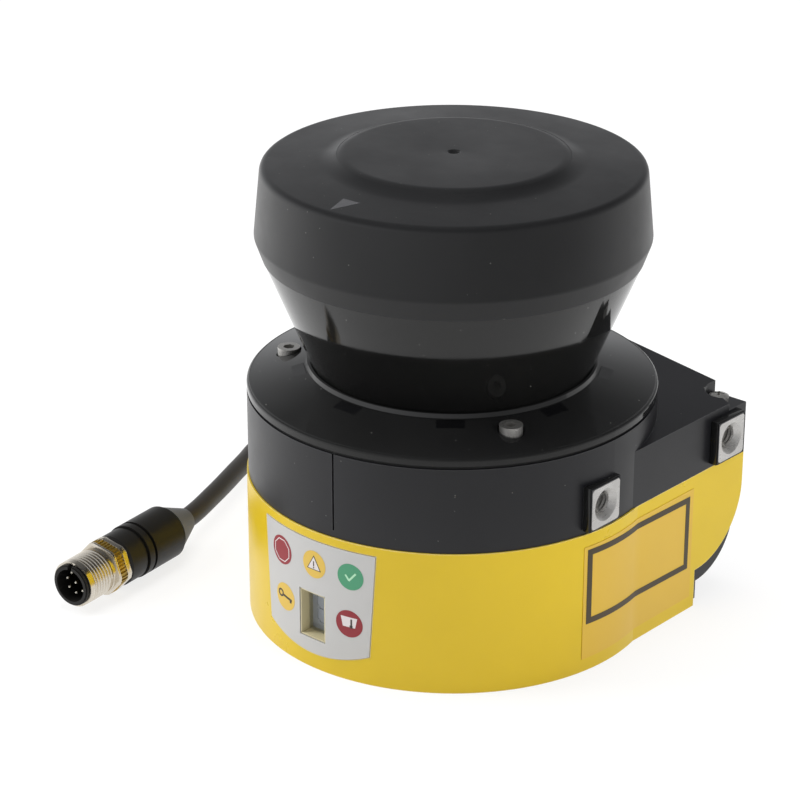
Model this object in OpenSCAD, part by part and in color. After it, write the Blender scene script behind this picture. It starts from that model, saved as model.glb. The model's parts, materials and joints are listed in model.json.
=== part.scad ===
// Compact safety laser scanner on its connection cable.
// The origin is on the scan axis at the base plane. +Z is up and the front faces -Y.
// Millimetres throughout.

/* [Housing] */
// Radius of the round front of the yellow cover
body_r = 49.9; // [48.8:0.1:52]
// Half of the width over the flat sides of the yellow cover
side_half_w = 48.7; // [47:0.1:48.9]
// Distance from the scan axis to the rear face
rear_y = 54; // [53:0.5:60]
// Height of the yellow cover
cover_h = 36.1; // [35.5:0.1:40]
// Wall of the yellow cover
cover_wall = 2; // [1.6:0.1:2.4]
// Wall of the black housing
wall = 2.6; // [2.2:0.1:3]
// Radius of the black collar above the yellow cover
collar_r = 49.5; // [48.9:0.1:50.4]
// Height of the black collar
collar_h = 21.1; // [20.5:0.1:25]
// Height of the rear block's side edge above the yellow cover
block_side_h = 14.7; // [14.2:0.1:16]
// Radius of the yellow cover's round rear underside
rear_round_r = 18.2; // [16:0.1:20]
// Height of the yellow cover's rear round above the base plane
cover_round_z = 28; // [26:0.5:30]
// Radius of the housing's round rear underside
core_round_r = 15.1; // [13:0.1:18]
// Height of the housing's rear round above the base plane
core_round_z = 19.9; // [18.5:0.1:22]
// Width of the fine seam groove down the front of the collar
seam_w = 0.5; // [0.3:0.1:0.9]

/* [Optics cover] */
// Thickness of the rubber gasket
gasket_t = 0.8; // [0.5:0.1:1.5]
// Height of the flange's vertical rim
rim_h = 1.9; // [1.5:0.1:2.6]
// Rise of the flange from its rim to the lip
flange_rise = 3.7; // [3:0.1:5]
// Radius of the lip around the foot of the window
lip_r = 34.3; // [33.5:0.1:35.5]
// Height of the lip
lip_h = 1; // [0.6:0.1:1.6]
// Height of the conical window
waist_h = 27; // [26:0.5:31]
// Outer radius at the top of the conical window
waist_top_r = 45.2; // [44:0.1:45.6]
// Wall of the window
window_wall = 2.4; // [2:0.1:3]
// Angle between neighbouring contamination windows
patch_step = 40; // [38:1:41]

/* [Cap] */
// Height of the cap's lower bevel
bevel_h = 4.9; // [3:0.1:6]
// Largest radius of the cap
cap_r = 47.05; // [46.6:0.05:49]
// Radius of the cap's top edge
cap_top_r = 45.4; // [44.6:0.1:46.4]
// Height of the cap's side
cap_side_h = 17.7; // [16.5:0.1:22]
// Radius of the raised plateau on the cap
plateau_r = 26.8; // [22:0.1:34]
// Height of the plateau
plateau_h = 1.8; // [1:0.1:3]

/* [Front panel] */
// Half width of the indicator panel at its top
panel_top_half_w = 17.3; // [16.6:0.1:20]
// Half width of the indicator panel at its bottom corners
panel_low_half_w = 15.7; // [15:0.1:18]
// Height of the panel's top edge above the base plane
panel_top_z = 33.8; // [32.5:0.1:34.5]
// Height of the panel's bottom corners above the base plane
panel_low_z = 7.4; // [6.9:0.1:8]
// How far the bottom edge bows down between its corners
panel_bow = 3.4; // [3:0.1:4.5]
// Thickness of the indicator panel
panel_t = 0.5; // [0.3:0.1:0.8]
// Sideways distance between neighbouring lamps
lamp_pitch = 10.6; // [10.2:0.1:11.4]
// Height of the upper lamps
lamp_top_z = 27.5; // [27:0.1:28.5]
// Height of the lower lamps
lamp_low_z = 15.2; // [13:0.1:17]
// Radius of the light guides
guide_r = 2; // [1.6:0.1:2.2]
// Width of the display window
display_w = 8.2; // [7.6:0.1:9]
// Height of the display window
display_h = 12.4; // [11.6:0.1:12.8]
// Height of the display window's centre
display_z = 13.9; // [13.5:0.1:14.5]

/* [Mounting] */
// Distance from side face to side face over the threaded inserts
insert_span = 102; // [101:0.1:104]
// Side length of a square insert
insert_size = 10.3; // [9.6:0.1:10.8]
// Depth of a square insert
insert_depth = 6.5; // [5.5:0.1:6.8]
// Place of the front inserts along the depth
insert_front_y = -4.6; // [-8:0.1:-2]
// Distance from the front inserts to the rear inserts
insert_spacing = 49.7; // [44:0.1:50.5]
// Height of the inserts' axis above the yellow cover
insert_rise = 6.75; // [6.2:0.05:7]
// Wall radius of the threaded hole
thread_r = 2.55; // [2:0.05:3]
// Mouth radius of the countersink
sink_r = 4.1; // [3.6:0.1:4.6]
// Thickness of the base plate
plate_t = 3; // [2.5:0.1:4]

/* [Screws] */
// Radius of an M3 shank
m3_r = 1.5; // [1.2:0.05:1.6]
// Radius of a socket screw's head
head_r = 2.75; // [2.4:0.05:3]
// Height of a socket screw's head
head_h = 3; // [2.4:0.1:3.6]
// Pitch circle radius of the flange screws
flange_screw_pcr = 40.4; // [39.8:0.1:41]
// Pitch circle radius of the chassis screws
chassis_screw_pcr = 43.7; // [43.4:0.1:44]

/* [Scanner drive] */
// Radius of the mirror shaft
shaft_r = 2.5; // [2:0.05:3]
// Outer radius of the ball bearings
bearing_r = 5.5; // [5:0.1:6.5]
// Width of a ball bearing
bearing_w = 4; // [3:0.1:5]
// Radius of the mirror drum
mirror_r = 16; // [13:0.1:16.4]
// Thickness of the mirror glass
mirror_t = 1.6; // [1:0.1:2]
// Radius of the encoder disc
encoder_r = 19.5; // [18.9:0.1:20.5]
// Number of slits in the encoder disc
encoder_slits = 24; // [12:2:30]
// Inner radius of the motor bell
bell_r = 15; // [14:0.1:17]
// Number of stator poles
poles = 9; // [6:3:12]
// Radius of the receiver lens
lens_r = 12.8; // [11:0.1:14]

/* [Cable and plug] */
// Radius of the connection cable
cable_r = 2.7; // [2.4:0.05:3]
// Largest radius of the plug's moulded body
plug_r = 7; // [6.6:0.1:7]
// Length of the plug's moulded body
plug_len = 21.5; // [16:0.5:30]
// Length of the plug's soft tail
plug_tail_len = 8; // [5:0.2:14]
// Width across flats of the coupling nut's hexagon
nut_af = 12.8; // [12.4:0.1:13.8]
// Length of the coupling nut's hexagon
nut_len = 4.8; // [4:0.1:7]
// Radius of the coupling nut's thread
nut_thread_r = 6; // [5.9:0.05:6.2]
// Length of the coupling nut's thread
nut_thread_len = 9.8; // [9:0.1:13]

/* [Hidden] */
$fn = 96;

fit = 0.15;        // play between pieces that are fixed to each other
play = 0.04;       // radial play of a running fit and of a screw in its hole
far = 200;         // longer than the whole scanner

// Levels of the stack, from the base plane up
collar_z = cover_h + collar_h;
gasket_z = collar_z + gasket_t;
rim_z = gasket_z + rim_h;
lip_z = rim_z + flange_rise + lip_h;
waist_z = lip_z + waist_h;
cap_wide_z = waist_z + bevel_h;
cap_z = cap_wide_z + cap_side_h;
scan_z = (lip_z + waist_z) / 2;
block_side_z = cover_h + block_side_h;

// Black housing inside the yellow cover
core_r = body_r - cover_wall - fit;
core_half_w = side_half_w - cover_wall - fit;
core_foot_y = rear_y - core_round_r + 0.1;
cover_foot_y = rear_y - rear_round_r - 0.4;
collar_in_r = collar_r - wall;
ledge_drop = 1.8;
ledge_z = block_side_z - ledge_drop;
roof_z = collar_z - 0.1;

// Chassis that carries the drive and the optics
chassis_t = 3;
chassis_seat_z = collar_z - 6.2;
chassis_top_z = chassis_seat_z + chassis_t;
chassis_r = collar_in_r - 0.3;
shelf_t = 3;
shelf_in_r = chassis_screw_pcr - 3.2;
hub_r = bearing_r + 2.5;
hub_top_z = chassis_top_z + 6;
hub_low_z = chassis_seat_z - 11;
window_in_r = lip_r - 0.7 - window_wall;
pillar_half_w = 8;
pillar_y = [window_in_r - 7.6, window_in_r - 2.6];
platform_t = 3;
platform_z = scan_z + mirror_r + 3.9;
platform_r = waist_top_r - 7.2;
receiver_board_z = platform_z + platform_t + 4;
receiver_board_t = 1.6;
receiver_board_r = platform_r - 9;
standoff_angles = [30, 150, 270];
standoff_r = receiver_board_r - 5;
standoff_screw_r = 1.2;
laser_r = 3.5;

// Rotor
bell_wall = 2;
bell_top_z = chassis_seat_z - 0.5;
bell_low_z = hub_low_z - 2.5;
encoder_z = hub_top_z + 0.4;
encoder_t = 1;
carrier_z = encoder_z + encoder_t;

// Flange
flange_r = collar_r;
flange_slope = flange_rise / (flange_r - lip_r - 1);
function flange_z(r) = rim_z + (flange_r - r) * flange_slope;
patch_r = lip_r + 2.8;
patch_size = [6.6, 3];
patch_angles = [for (k = [-3:3]) k * patch_step];
flange_screw_angles = [-60, 60, 180];
chassis_screw_angles = [-28, 28, -112, 112];

// Inserts
insert_x = insert_span / 2;
insert_z = cover_h + insert_rise;
insert_ys = [insert_front_y, insert_front_y + insert_spacing];
boss_size = insert_size + 0.5;
boss_floor = 2.8;

// Screw in each rear corner, just inside the rear insert
corner_screw_r = 1.25;
corner_screw = [insert_x - insert_depth - corner_screw_r - 0.05, rear_y - 3.9];
corner_recess_r = 3.5;
corner_cut = [corner_screw[0] - corner_recess_r - 0.4, rear_y - 3.6, rear_y - 7.6];

// Front lamps and display
lamps = [[-lamp_pitch, lamp_top_z], [0, lamp_top_z], [lamp_pitch, lamp_top_z],
         [-lamp_pitch, lamp_low_z], [lamp_pitch, lamp_low_z]];
board_y = -body_r + 10.5;
board_t = 1.6;
board_half_w = lamp_pitch + 6;
board_low_z = plate_t + 2.2;
board_high_z = lamp_top_z + 4.5;
board_screw = [lamp_pitch + 3.6, (lamp_top_z + lamp_low_z) / 2];
board_screw_r = 0.8;
led_h = 2.3;
window_wall_y = 1.2;
window_depth = 4.3;
pane_y = -body_r + 2.9;
pane_t = 1.1;
display_face_y = pane_y + pane_t + 0.6;

// Main board
main_z = plate_t + 9;
main_t = 1.6;
main_half_w = core_r - wall - 16.65;
main_y = [-(core_r - wall) + 15.15, rear_y - 22];
main_screws = [for (s = [-1, 1]) for (y = [main_y[0] + 10, main_y[1] - 7])
    [s * (main_half_w - 3.5), y]];
main_screw_r = 1.2;
flex_socket_h = 9;
// Base screws on the +X side: place, and the direction of their post's rib
plate_post_r = 3.6;
front_post_angle = -36.6;
front_post_r = core_r - wall - plate_post_r - 0.45;
plate_screw_at = [
    [front_post_r * cos(front_post_angle), front_post_r * sin(front_post_angle),
     front_post_angle],
    [core_half_w - wall - plate_post_r - 1, main_y[1] - 2, 0]];
plate_screws = [for (s = [-1, 1]) for (p = plate_screw_at) [s * p[0], p[1]]];
plate_post_h = 14;
plate_screw_len = 9;

// Label on the +X side
label_y = [-8.3, cover_foot_y - 2];
label_z = [3.4, cover_h - 3.3];

// Cable outlet
gland_x = -14;
gland_z = 18;
gland_seat_y = rear_y + 2;
gland_r = 6.5;
gland_root = 8;
gland_len = 17.5;
gland_tip_y = gland_seat_y + gland_len;

// Plug that lies on the floor with its face to the front
plug_turn = 7;
nut_corner_r = nut_af / 2 + 0.55;
nut_turn = -12.5;
plug_tail_end = [-69.2, -24.3, max(plug_r, nut_corner_r) + 0.2];
insert_face_r = nut_thread_r - 1;
insert_head_r = insert_face_r + 0.35;
pin_r = 0.45;
pin_circle_r = insert_face_r - 2.25;
pin_places = concat([[0, 0]], [for (k = [0:6]) pin_circle_r
    * [cos(90 + 360 * (k + 0.5) / 7), sin(90 + 360 * (k + 0.5) / 7)]]);

// Route of the cable from the outlet to the plug
cable_points = [
    [gland_x, gland_tip_y, gland_z], [-14, 80, 17.6], [-15.2, 87, 16], [-19, 93.5, 13.2],
    [-25, 98.5, 9.6], [-33, 101.5, 6.2], [-42, 102.5, 3.9], [-51.5, 101.5, 2.9],
    [-61, 98.8, 2.8], [-70, 94.3, 2.8], [-78.5, 88.3, 2.8], [-85.7, 80.8, 2.8],
    [-91.2, 72, 2.8], [-94.8, 62.3, 2.8], [-96.2, 52, 2.8], [-95.6, 41.5, 3.2],
    [-93.2, 31.5, 4], [-89.6, 22.5, 4.9], [-85.4, 14.4, 5.6], [-81.1, 5.5, 6.3],
    [-77.1, -3, 6.8], [-73.7, -11, 7.1], [-70.8, -18.5, 7.2], plug_tail_end];
cable_sides = 10;

// ---------- shared outlines and helpers ----------

// Plan of the body: a round front and a flat-sided rear
module plan(r, half_w, y) {
    circle(r = r);
    translate([-half_w, 0]) square([2 * half_w, y]);
}

// Turns a (y, z) outline into a bar of the given width along X
module along_x(width) {
    translate([-width / 2, 0, 0]) rotate([90, 0, 90]) linear_extrude(width) children();
}

// Turns an (x, z) outline into a bar from y0 to y1
module along_y(y0, y1) {
    translate([0, y1, 0]) rotate([90, 0, 0]) linear_extrude(y1 - y0) children();
}

// Side view of the body with its round rear underside
module side_view(round_z, foot_y, y, r, top) {
    translate([-far, 0]) square([far + foot_y, top]);
    translate([y - r, round_z]) circle(r = r);
    translate([0, round_z]) square([y, top - round_z]);
}

// A screw shank or hole along +Z
module rod(r, z0, z1) {
    translate([0, 0, z0]) cylinder(r = r, h = z1 - z0);
}

// Places children on a circle, at angles counted from the front towards +X
module around(r, angles) {
    for (a = angles) rotate([0, 0, a]) translate([0, -r, 0]) children();
}

// Points of an arc in an (r, z) outline
function arc(c, r, a0, a1, n) = [for (k = [0:n]) let (a = a0 + (a1 - a0) * k / n)
    [c[0] + r * cos(a), c[1] + r * sin(a)]];

// ---------- housing ----------

module core_outer() {
    intersection() {
        linear_extrude(cover_h) plan(core_r, core_half_w, rear_y);
        along_x(far) side_view(core_round_z, core_foot_y, rear_y, core_round_r, cover_h);
    }
}

module rear_block() {
    intersection() {
        translate([-side_half_w, 0, cover_h]) cube([2 * side_half_w, rear_y, collar_h]);
        along_y(-1, rear_y + 1)
            polygon([[-side_half_w, 0], [side_half_w, 0], [side_half_w, block_side_z],
                     [0, roof_z], [-side_half_w, block_side_z]]);
    }
}

// Places children on an insert's axis, with +Z pointing out of the side face
module at_inserts() {
    for (s = [-1, 1]) for (y = insert_ys)
        translate([s * insert_x, y, insert_z]) rotate([0, s * 90, 0]) children();
}

module square_bar(size, z0, z1) {
    translate([-size / 2, -size / 2, z0]) cube([size, size, z1 - z0]);
}

// Square bosses that hold the inserts, closed towards the inside
module insert_bosses() {
    at_inserts() square_bar(boss_size, -insert_depth - boss_floor, 0);
}

module insert_sockets() {
    difference() {
        insert_bosses();
        insert_pockets();
        for (s = [0, 1]) mirror([s, 0, 0]) corner_notch();
    }
}

module insert_pockets() {
    at_inserts() square_bar(insert_size + play, -insert_depth, 1);
}

module core_cavity() {
    intersection() {
        translate([0, 0, -1]) linear_extrude(chassis_seat_z - shelf_t + 1)
            plan(core_r - wall, core_half_w - wall, rear_y - wall);
        translate([0, 0, -1]) along_x(far)
            side_view(core_round_z + 1, core_foot_y - wall, rear_y - wall,
                      core_round_r - wall, far);
    }
    rod(shelf_in_r, chassis_seat_z - shelf_t - 1, collar_z + 1);
    rod(collar_in_r, chassis_seat_z, collar_z + 1);
}

// Stepped corner with a ledge for the corner screw
module corner_notch() {
    translate([0, 0, ledge_z]) {
        linear_extrude(far)
            polygon([[corner_cut[0], rear_y + 1], [corner_cut[0], corner_cut[1]],
                     [side_half_w + 1, corner_cut[2]], [side_half_w + 1, rear_y + 1]]);
        translate(corner_screw) cylinder(r = corner_recess_r, h = far);
    }
    translate(corner_screw) rod(corner_screw_r + play, ledge_z - 7, ledge_z + 1);
}

// Ribbed posts inside the housing that the base plate is screwed to
module plate_posts() {
    rib = 2;
    for (s = [0, 1]) mirror([s, 0, 0]) for (p = plate_screw_at)
        translate([p[0], p[1], plate_t]) difference() {
            union() {
                cylinder(r = plate_post_r, h = plate_post_h);
                rotate([0, 0, p[2]]) translate([0, -rib / 2, 0])
                    cube([plate_post_r + rib, rib, plate_post_h]);
            }
            rod(m3_r + play, -1, plate_screw_len);
        }
}

// Places children on the display board's screws, with +Z towards the front
module at_board_screws() {
    for (s = [-1, 1]) translate([s * board_screw[0], board_y, board_screw[1]])
        rotate([90, 0, 0]) children();
}

module display_board_posts() {
    wall_y = sqrt(pow(core_r - wall, 2) - pow(board_screw[0], 2));
    at_board_screws() difference() {
        rod(1.8, board_t, wall_y + board_y + 1);
        rod(board_screw_r + play, 0, wall_y + board_y + 1);
    }
}

module main_housing() {
    color("#2b2b2d") {
        difference() {
            union() {
                core_outer();
                rod(collar_r, cover_h, collar_z);
                rear_block();
                translate([gland_x, gland_seat_y, gland_z]) rotate([90, 0, 0])
                    cylinder(r = gland_r + 0.5, h = gland_seat_y - rear_y + gland_root);
            }
            core_cavity();
            at_inserts() square_bar(boss_size - 0.1, -insert_depth, 1);
            for (s = [0, 1]) mirror([s, 0, 0]) corner_notch();
            along_y(-far, board_y - board_t)
                translate([-display_w / 2 - window_wall_y - 0.2,
                           display_z - display_h / 2 - window_wall_y - 0.2])
                    square([display_w + 2 * window_wall_y + 0.4,
                            display_h + 2 * window_wall_y + 0.4]);
            lamp_holes();
            rotate([0, 0, 7.3]) translate([-seam_w / 2, -collar_r - 1, cover_h + 1.8])
                cube([seam_w, 1.5, collar_h]);
            around(chassis_screw_pcr, chassis_screw_angles)
                rod(m3_r + play, chassis_seat_z - 9, chassis_seat_z + 1);
        }
        plate_posts();
        display_board_posts();
        insert_sockets();
    }
}

module lamp_holes() {
    along_y(-far, board_y - board_t)
        for (p = lamps) translate(p) circle(r = guide_r + play);
}

module yellow_cover() {
    color("#f2c51c") difference() {
        union() {
            difference() {
                intersection() {
                    linear_extrude(cover_h) plan(body_r, side_half_w, rear_y);
                    along_x(far) side_view(cover_round_z, cover_foot_y, rear_y,
                                           rear_round_r, cover_h);
                }
                translate([0, 0, -1]) linear_extrude(cover_h + 2)
                    plan(body_r - cover_wall, side_half_w - cover_wall, rear_y + 1);
            }
            intersection() {
                along_y(-body_r, -body_r + window_depth)
                    translate([-display_w / 2 - window_wall_y,
                               display_z - display_h / 2 - window_wall_y])
                        square([display_w + 2 * window_wall_y, display_h + 2 * window_wall_y]);
                linear_extrude(cover_h) circle(r = body_r);
            }
        }
        panel_shape(body_r - panel_t + 0.2, body_r + 1, fit);
        along_y(-far, 0) display_opening(0);
        lamp_holes();
    }
}

module display_opening(grow) {
    translate([-display_w / 2 - grow, display_z - display_h / 2 - grow])
        square([display_w + 2 * grow, display_h + 2 * grow]);
}

// Curved sheet with the panel's outline, from radius r0 to r1
module panel_shape(r0, r1, grow) {
    bow_r = (pow(panel_low_half_w, 2) + pow(panel_bow, 2)) / (2 * panel_bow);
    side_slope = (panel_top_half_w - panel_low_half_w) / (panel_top_z - panel_low_z);
    floor_z = panel_low_z - panel_bow - 1;
    low_w = panel_top_half_w - side_slope * (panel_top_z - floor_z);
    intersection() {
        difference() {
            rod(r1, 0, cover_h);
            rod(r0, -1, cover_h + 1);
        }
        along_y(-far, 0) intersection() {
            polygon([[-panel_top_half_w - grow, panel_top_z + grow],
                     [panel_top_half_w + grow, panel_top_z + grow],
                     [low_w + grow, floor_z], [-low_w - grow, floor_z]]);
            translate([0, panel_low_z - panel_bow + bow_r]) circle(r = bow_r + grow);
        }
    }
}

module indicator_panel() {
    color("#c9cacc") difference() {
        panel_shape(body_r - panel_t + 0.2, body_r + 0.2, 0);
        along_y(-far, 0) display_opening(0);
    }
}

module side_label() {
    color("#eebd45") intersection() {
        difference() {
            linear_extrude(cover_h) plan(body_r + 0.15, side_half_w + 0.15, rear_y);
            translate([0, 0, -1]) linear_extrude(cover_h + 2) plan(body_r, side_half_w, far);
        }
        translate([0, label_y[0], label_z[0]])
            cube([far, label_y[1] - label_y[0], label_z[1] - label_z[0]]);
    }
}

module base_plate() {
    color("#9a9c9f") difference() {
        union() {
            linear_extrude(plate_t) intersection() {
                plan(core_r - wall - fit, core_half_w - wall - fit, far);
                translate([-far, -far]) square([2 * far, far + core_foot_y - wall - fit]);
            }
            for (p = main_screws) translate(p) rod(3, plate_t, main_z);
        }
        for (p = plate_screws) translate(p) {
            rod(m3_r + play, -1, plate_t + 1);
            translate([0, 0, -0.01]) cylinder(r1 = m3_r + 1.6, r2 = m3_r + play, h = 1.6);
        }
        for (p = main_screws) translate(p) rod(main_screw_r + play, main_z - 6, main_z + 1);
    }
}

module base_plate_screws() {
    color("silver") for (p = plate_screws) translate(p) {
        difference() {
            cylinder(r1 = m3_r + 1.5, r2 = m3_r, h = 1.6);
            translate([0, 0, -0.5]) cylinder(r = 1.1, h = 1.5, $fn = 6);
        }
        rod(m3_r, 1.5, plate_t + plate_screw_len - 1);
    }
}

// Square metal insert with a threaded hole and a wide countersink
module mounting_inserts() {
    color("#c8cacd") at_inserts() difference() {
        square_bar(insert_size, -insert_depth, 0);
        rod(thread_r, -insert_depth - 1, 1);
        translate([0, 0, thread_r - sink_r])
            cylinder(r1 = thread_r, r2 = sink_r + 0.001, h = sink_r - thread_r + 0.001);
    }
}

// Pan head screw with a cross recess, standing on z = 0
module pan_screw(r, head, height, length) {
    difference() {
        intersection() {
            cylinder(r = head, h = height);
            translate([0, 0, height - head * 1.8]) sphere(r = head * 1.8);
        }
        for (a = [0, 90]) rotate([0, 0, a])
            translate([-head * 0.55, -0.25, height * 0.45]) cube([head * 1.1, 0.5, height]);
    }
    rod(r, -length, 0.01);
}

// Socket head screw standing on z = 0
module socket_screw(length) {
    difference() {
        rod(head_r, 0, head_h);
        translate([0, 0, head_h * 0.45]) cylinder(r = head_r * 0.52, h = head_h, $fn = 6);
    }
    rod(m3_r, -length, 0.01);
}

module corner_screws() {
    color("silver") for (s = [-1, 1]) translate([s * corner_screw[0], corner_screw[1], ledge_z])
        rotate([0, 0, 30]) pan_screw(corner_screw_r, 2.5, 2.1, 6);
}

// ---------- front electronics ----------

module display_window() {
    color("#9fb4c8", 0.5) along_y(pane_y, pane_y + pane_t) display_opening(-0.05);
}

module light_guides() {
    color("#f4f4ee") intersection() {
        along_y(-far, board_y - board_t - led_h)
            for (p = lamps) translate(p) circle(r = guide_r);
        rod(body_r - panel_t + 0.15, 0, cover_h);
    }
}

module display_board() {
    color("#1f6b3a") difference() {
        along_y(board_y - board_t, board_y)
            translate([-board_half_w, board_low_z])
                square([2 * board_half_w, board_high_z - board_low_z]);
        at_board_screws() rod(board_screw_r + play, -1, board_t + 1);
    }
}

module display_board_screws() {
    color("silver") at_board_screws() mirror([0, 0, 1]) pan_screw(board_screw_r, 1.6, 1.2, 3);
}

module status_leds() {
    color("#e8e8e0") for (p = lamps) translate([p[0], board_y - board_t, p[1]])
        rotate([90, 0, 0]) {
            cylinder(r = 1.5, h = led_h / 2);
            translate([0, 0, led_h / 2]) intersection() {
                sphere(r = 1.25);
                cylinder(r = 2, h = led_h / 2);
            }
        }
}

module seven_segment_display() {
    color("#3a3d42") difference() {
        along_y(display_face_y, board_y - board_t) display_opening(-0.1);
        for (k = [-1, 0, 1]) translate([0, display_face_y, display_z + k * 3.6])
            cube([3, 0.5, 0.6], center = true);
        for (i = [-1, 1]) for (k = [-1, 1])
            translate([i * 1.9, display_face_y, display_z + k * 1.8])
                cube([0.6, 0.5, 2.8], center = true);
    }
}

// ---------- main electronics ----------

module main_board() {
    color("#1f6b3a") difference() {
        translate([-main_half_w, main_y[0], main_z])
            cube([2 * main_half_w, main_y[1] - main_y[0], main_t]);
        for (p = main_screws) translate(p) 
            rod(main_screw_r + play, main_z - 1, main_z + main_t + 1);
    }
}

module main_board_parts() {
    top = main_z + main_t;
    color("#303236") translate([0, 0, top]) {
        // processor, memory, plug strip and coil
        translate([-9, -9, 0]) cube([14, 14, 1.6]);
        translate([main_half_w - 18.5, -6, 0]) cube([10, 10, 1.4]);
        translate([-main_half_w + 8.5, main_y[0] + 3, 0]) cube([18, 5, 5]);
        translate([main_half_w - 19.5, main_y[1] - 25, 0]) cube([11, 11, 7]);
        // socket of the flex cable
        translate([-11, pillar_y[1] - 4, 0]) cube([22, 6, flex_socket_h]);
        // capacitors
        for (x = [7.5, 15.5]) translate([x - main_half_w, main_y[1] - 19, 0])
            cylinder(r = 3.2, h = 10);
    }
}

module main_board_screws() {
    color("silver") for (p = main_screws) translate([p[0], p[1], main_z + main_t])
        pan_screw(main_screw_r, 2.2, 1.6, 5);
}

// ---------- optics cover and cap ----------

module cover_gasket() {
    color("#151515") difference() {
        rod(collar_r - 0.5, collar_z, gasket_z);
        rod(collar_in_r, collar_z - 1, gasket_z + 1);
    }
}

module optics_cover_outline() {
    round_r = 0.7;
    outer = concat(
        [[flange_r, gasket_z]],
        arc([flange_r - round_r, rim_z - round_r], round_r, 0, 75, 4),
        [[lip_r + 1, rim_z + flange_rise], [lip_r + 0.7, lip_z], [lip_r, lip_z],
         [lip_r - 0.5, lip_z - 0.6], [waist_top_r, waist_z], [waist_top_r - 0.8, waist_z],
         [waist_top_r - 0.8, waist_z + 2.4]]);
    inner = [[waist_top_r - 0.6 - window_wall, waist_z + 2.4],
             [waist_top_r - 0.3 - window_wall, waist_z],
             [window_in_r, lip_z - 0.6],
             [window_in_r, rim_z + flange_rise - 2.4],
             [collar_in_r - 0.4, gasket_z]];
    polygon(concat(outer, inner));
}

module optics_cover() {
    color("#17181b") difference() {
        rotate_extrude() optics_cover_outline();
        // contamination windows let into the flange at the foot of the lip
        around(patch_r, patch_angles)
            translate([-patch_size[0] / 2, -patch_size[1] / 2, flange_z(patch_r) - 0.5])
                cube([patch_size[0], patch_size[1], 5]);
        around(flange_screw_pcr, flange_screw_angles) {
            rod(head_r + 0.35, screw_seat_z(), lip_z);
            rod(m3_r + 0.2, chassis_top_z, lip_z);
        }
    }
    // screw pillars under the flange
    color("#17181b") around(flange_screw_pcr, flange_screw_angles) difference() {
        rod(head_r + 0.9, chassis_top_z, screw_seat_z());
        rod(m3_r + 0.2, chassis_top_z - 1, screw_seat_z() + 1);
    }
}

function screw_seat_z() = flange_z(flange_screw_pcr) - 1.7;

module optics_cover_screws() {
    color("silver") around(flange_screw_pcr, flange_screw_angles)
        translate([0, 0, screw_seat_z()])
            socket_screw(screw_seat_z() - chassis_seat_z - 0.4);
}

module optics_cap_outline() {
    edge_r = 1.4;
    top_wall = 2.6;
    inner_r = cap_top_r - 2.4;
    polygon(concat(
        [[waist_top_r + 0.1, waist_z], [cap_r, cap_wide_z]],
        arc([cap_top_r - edge_r, cap_z - edge_r], edge_r, 5, 90, 5),
        [[plateau_r + 2.6, cap_z], [plateau_r, cap_z + plateau_h], [1.1, cap_z + plateau_h],
         [0.6, cap_z + plateau_h - 0.5], [0, cap_z + plateau_h - 0.5],
         [0, cap_z - top_wall], [inner_r - 3, cap_z - top_wall],
         [inner_r, cap_z - top_wall - 3], [inner_r + 0.4, cap_wide_z],
         [waist_top_r - 0.65 - window_wall, waist_z + 2.5 + fit],
         [waist_top_r - 0.7, waist_z + 2.5 + fit],
         [waist_top_r - 0.7, waist_z]]));
}

module optics_cap() {
    color("#2a2a2b") rotate_extrude() optics_cap_outline();
}

// ---------- chassis and scanner drive ----------

module optics_chassis() {
    color("#8d9094") difference() {
        union() {
            rod(chassis_r, chassis_seat_z, chassis_top_z);
            rod(hub_r, hub_low_z, hub_top_z);
            translate([-pillar_half_w, pillar_y[0], chassis_seat_z])
                cube([2 * pillar_half_w, pillar_y[1] - pillar_y[0], platform_z - chassis_seat_z]);
            rod(platform_r, platform_z, platform_z + platform_t);
        }
        for (z = [hub_low_z + 1, hub_top_z - 1 - bearing_w])
            rod(bearing_r + play / 2, z, z + bearing_w);
        rod(bearing_r - 1.2, hub_low_z - 1, hub_top_z + 1);
        rod(bearing_r + play / 2, hub_top_z - 1 - bearing_w, hub_top_z + 1);
        rod(bearing_r + play / 2, hub_low_z - 1, hub_low_z + 1);
        rod(lens_r - 1, platform_z - 1, platform_z + 1.01);
        rod(lens_r + play, platform_z + 1, platform_z + platform_t + 1);
        around(flange_screw_pcr, flange_screw_angles)
            rod(m3_r + play, chassis_seat_z - 1, chassis_top_z + 1);
        around(chassis_screw_pcr, chassis_screw_angles)
            rod(m3_r + 0.2, chassis_seat_z - 1, chassis_top_z + 1);
        // slots that the flex cable passes through
        translate([-6, pillar_y[1], chassis_seat_z - 1]) cube([12, 1.2, far]);
    }
}

module chassis_screws() {
    color("silver") around(chassis_screw_pcr, chassis_screw_angles)
        translate([0, 0, chassis_top_z]) pan_screw(m3_r, 2.6, 2, chassis_t + 6);
}

module window_sensors() {
    color("#26282c") around(patch_r - 0.6, patch_angles)
        translate([-3, -2.2, chassis_top_z]) {
            cube([6, 4.4, 4]);
            translate([3, 2.2, 4]) cylinder(r = 1.5, h = 1.6);
        }
}

// Flat cable from the main board up the back of the pillar to the receiver board
module flex_cable() {
    low = main_z + main_t + flex_socket_h;
    color("#b5772c") translate([-5, pillar_y[1], low])
        cube([10, 0.3, receiver_board_z - low]);
}

module shaft_bearings() {
    color("#b9bcc0") for (z = [hub_low_z + 1, hub_top_z - 1 - bearing_w])
        translate([0, 0, z]) difference() {
            cylinder(r = bearing_r, h = bearing_w);
            rod(shaft_r + play, -1, bearing_w + 1);
            // ring groove between the races, on both faces
            for (k = [-1, 1]) translate([0, 0, bearing_w / 2 + k * bearing_w / 2])
                difference() {
                    cylinder(r = bearing_r - 1, h = 1, center = true);
                    cylinder(r = shaft_r + 0.9, h = 2, center = true);
                }
        }
}

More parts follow.
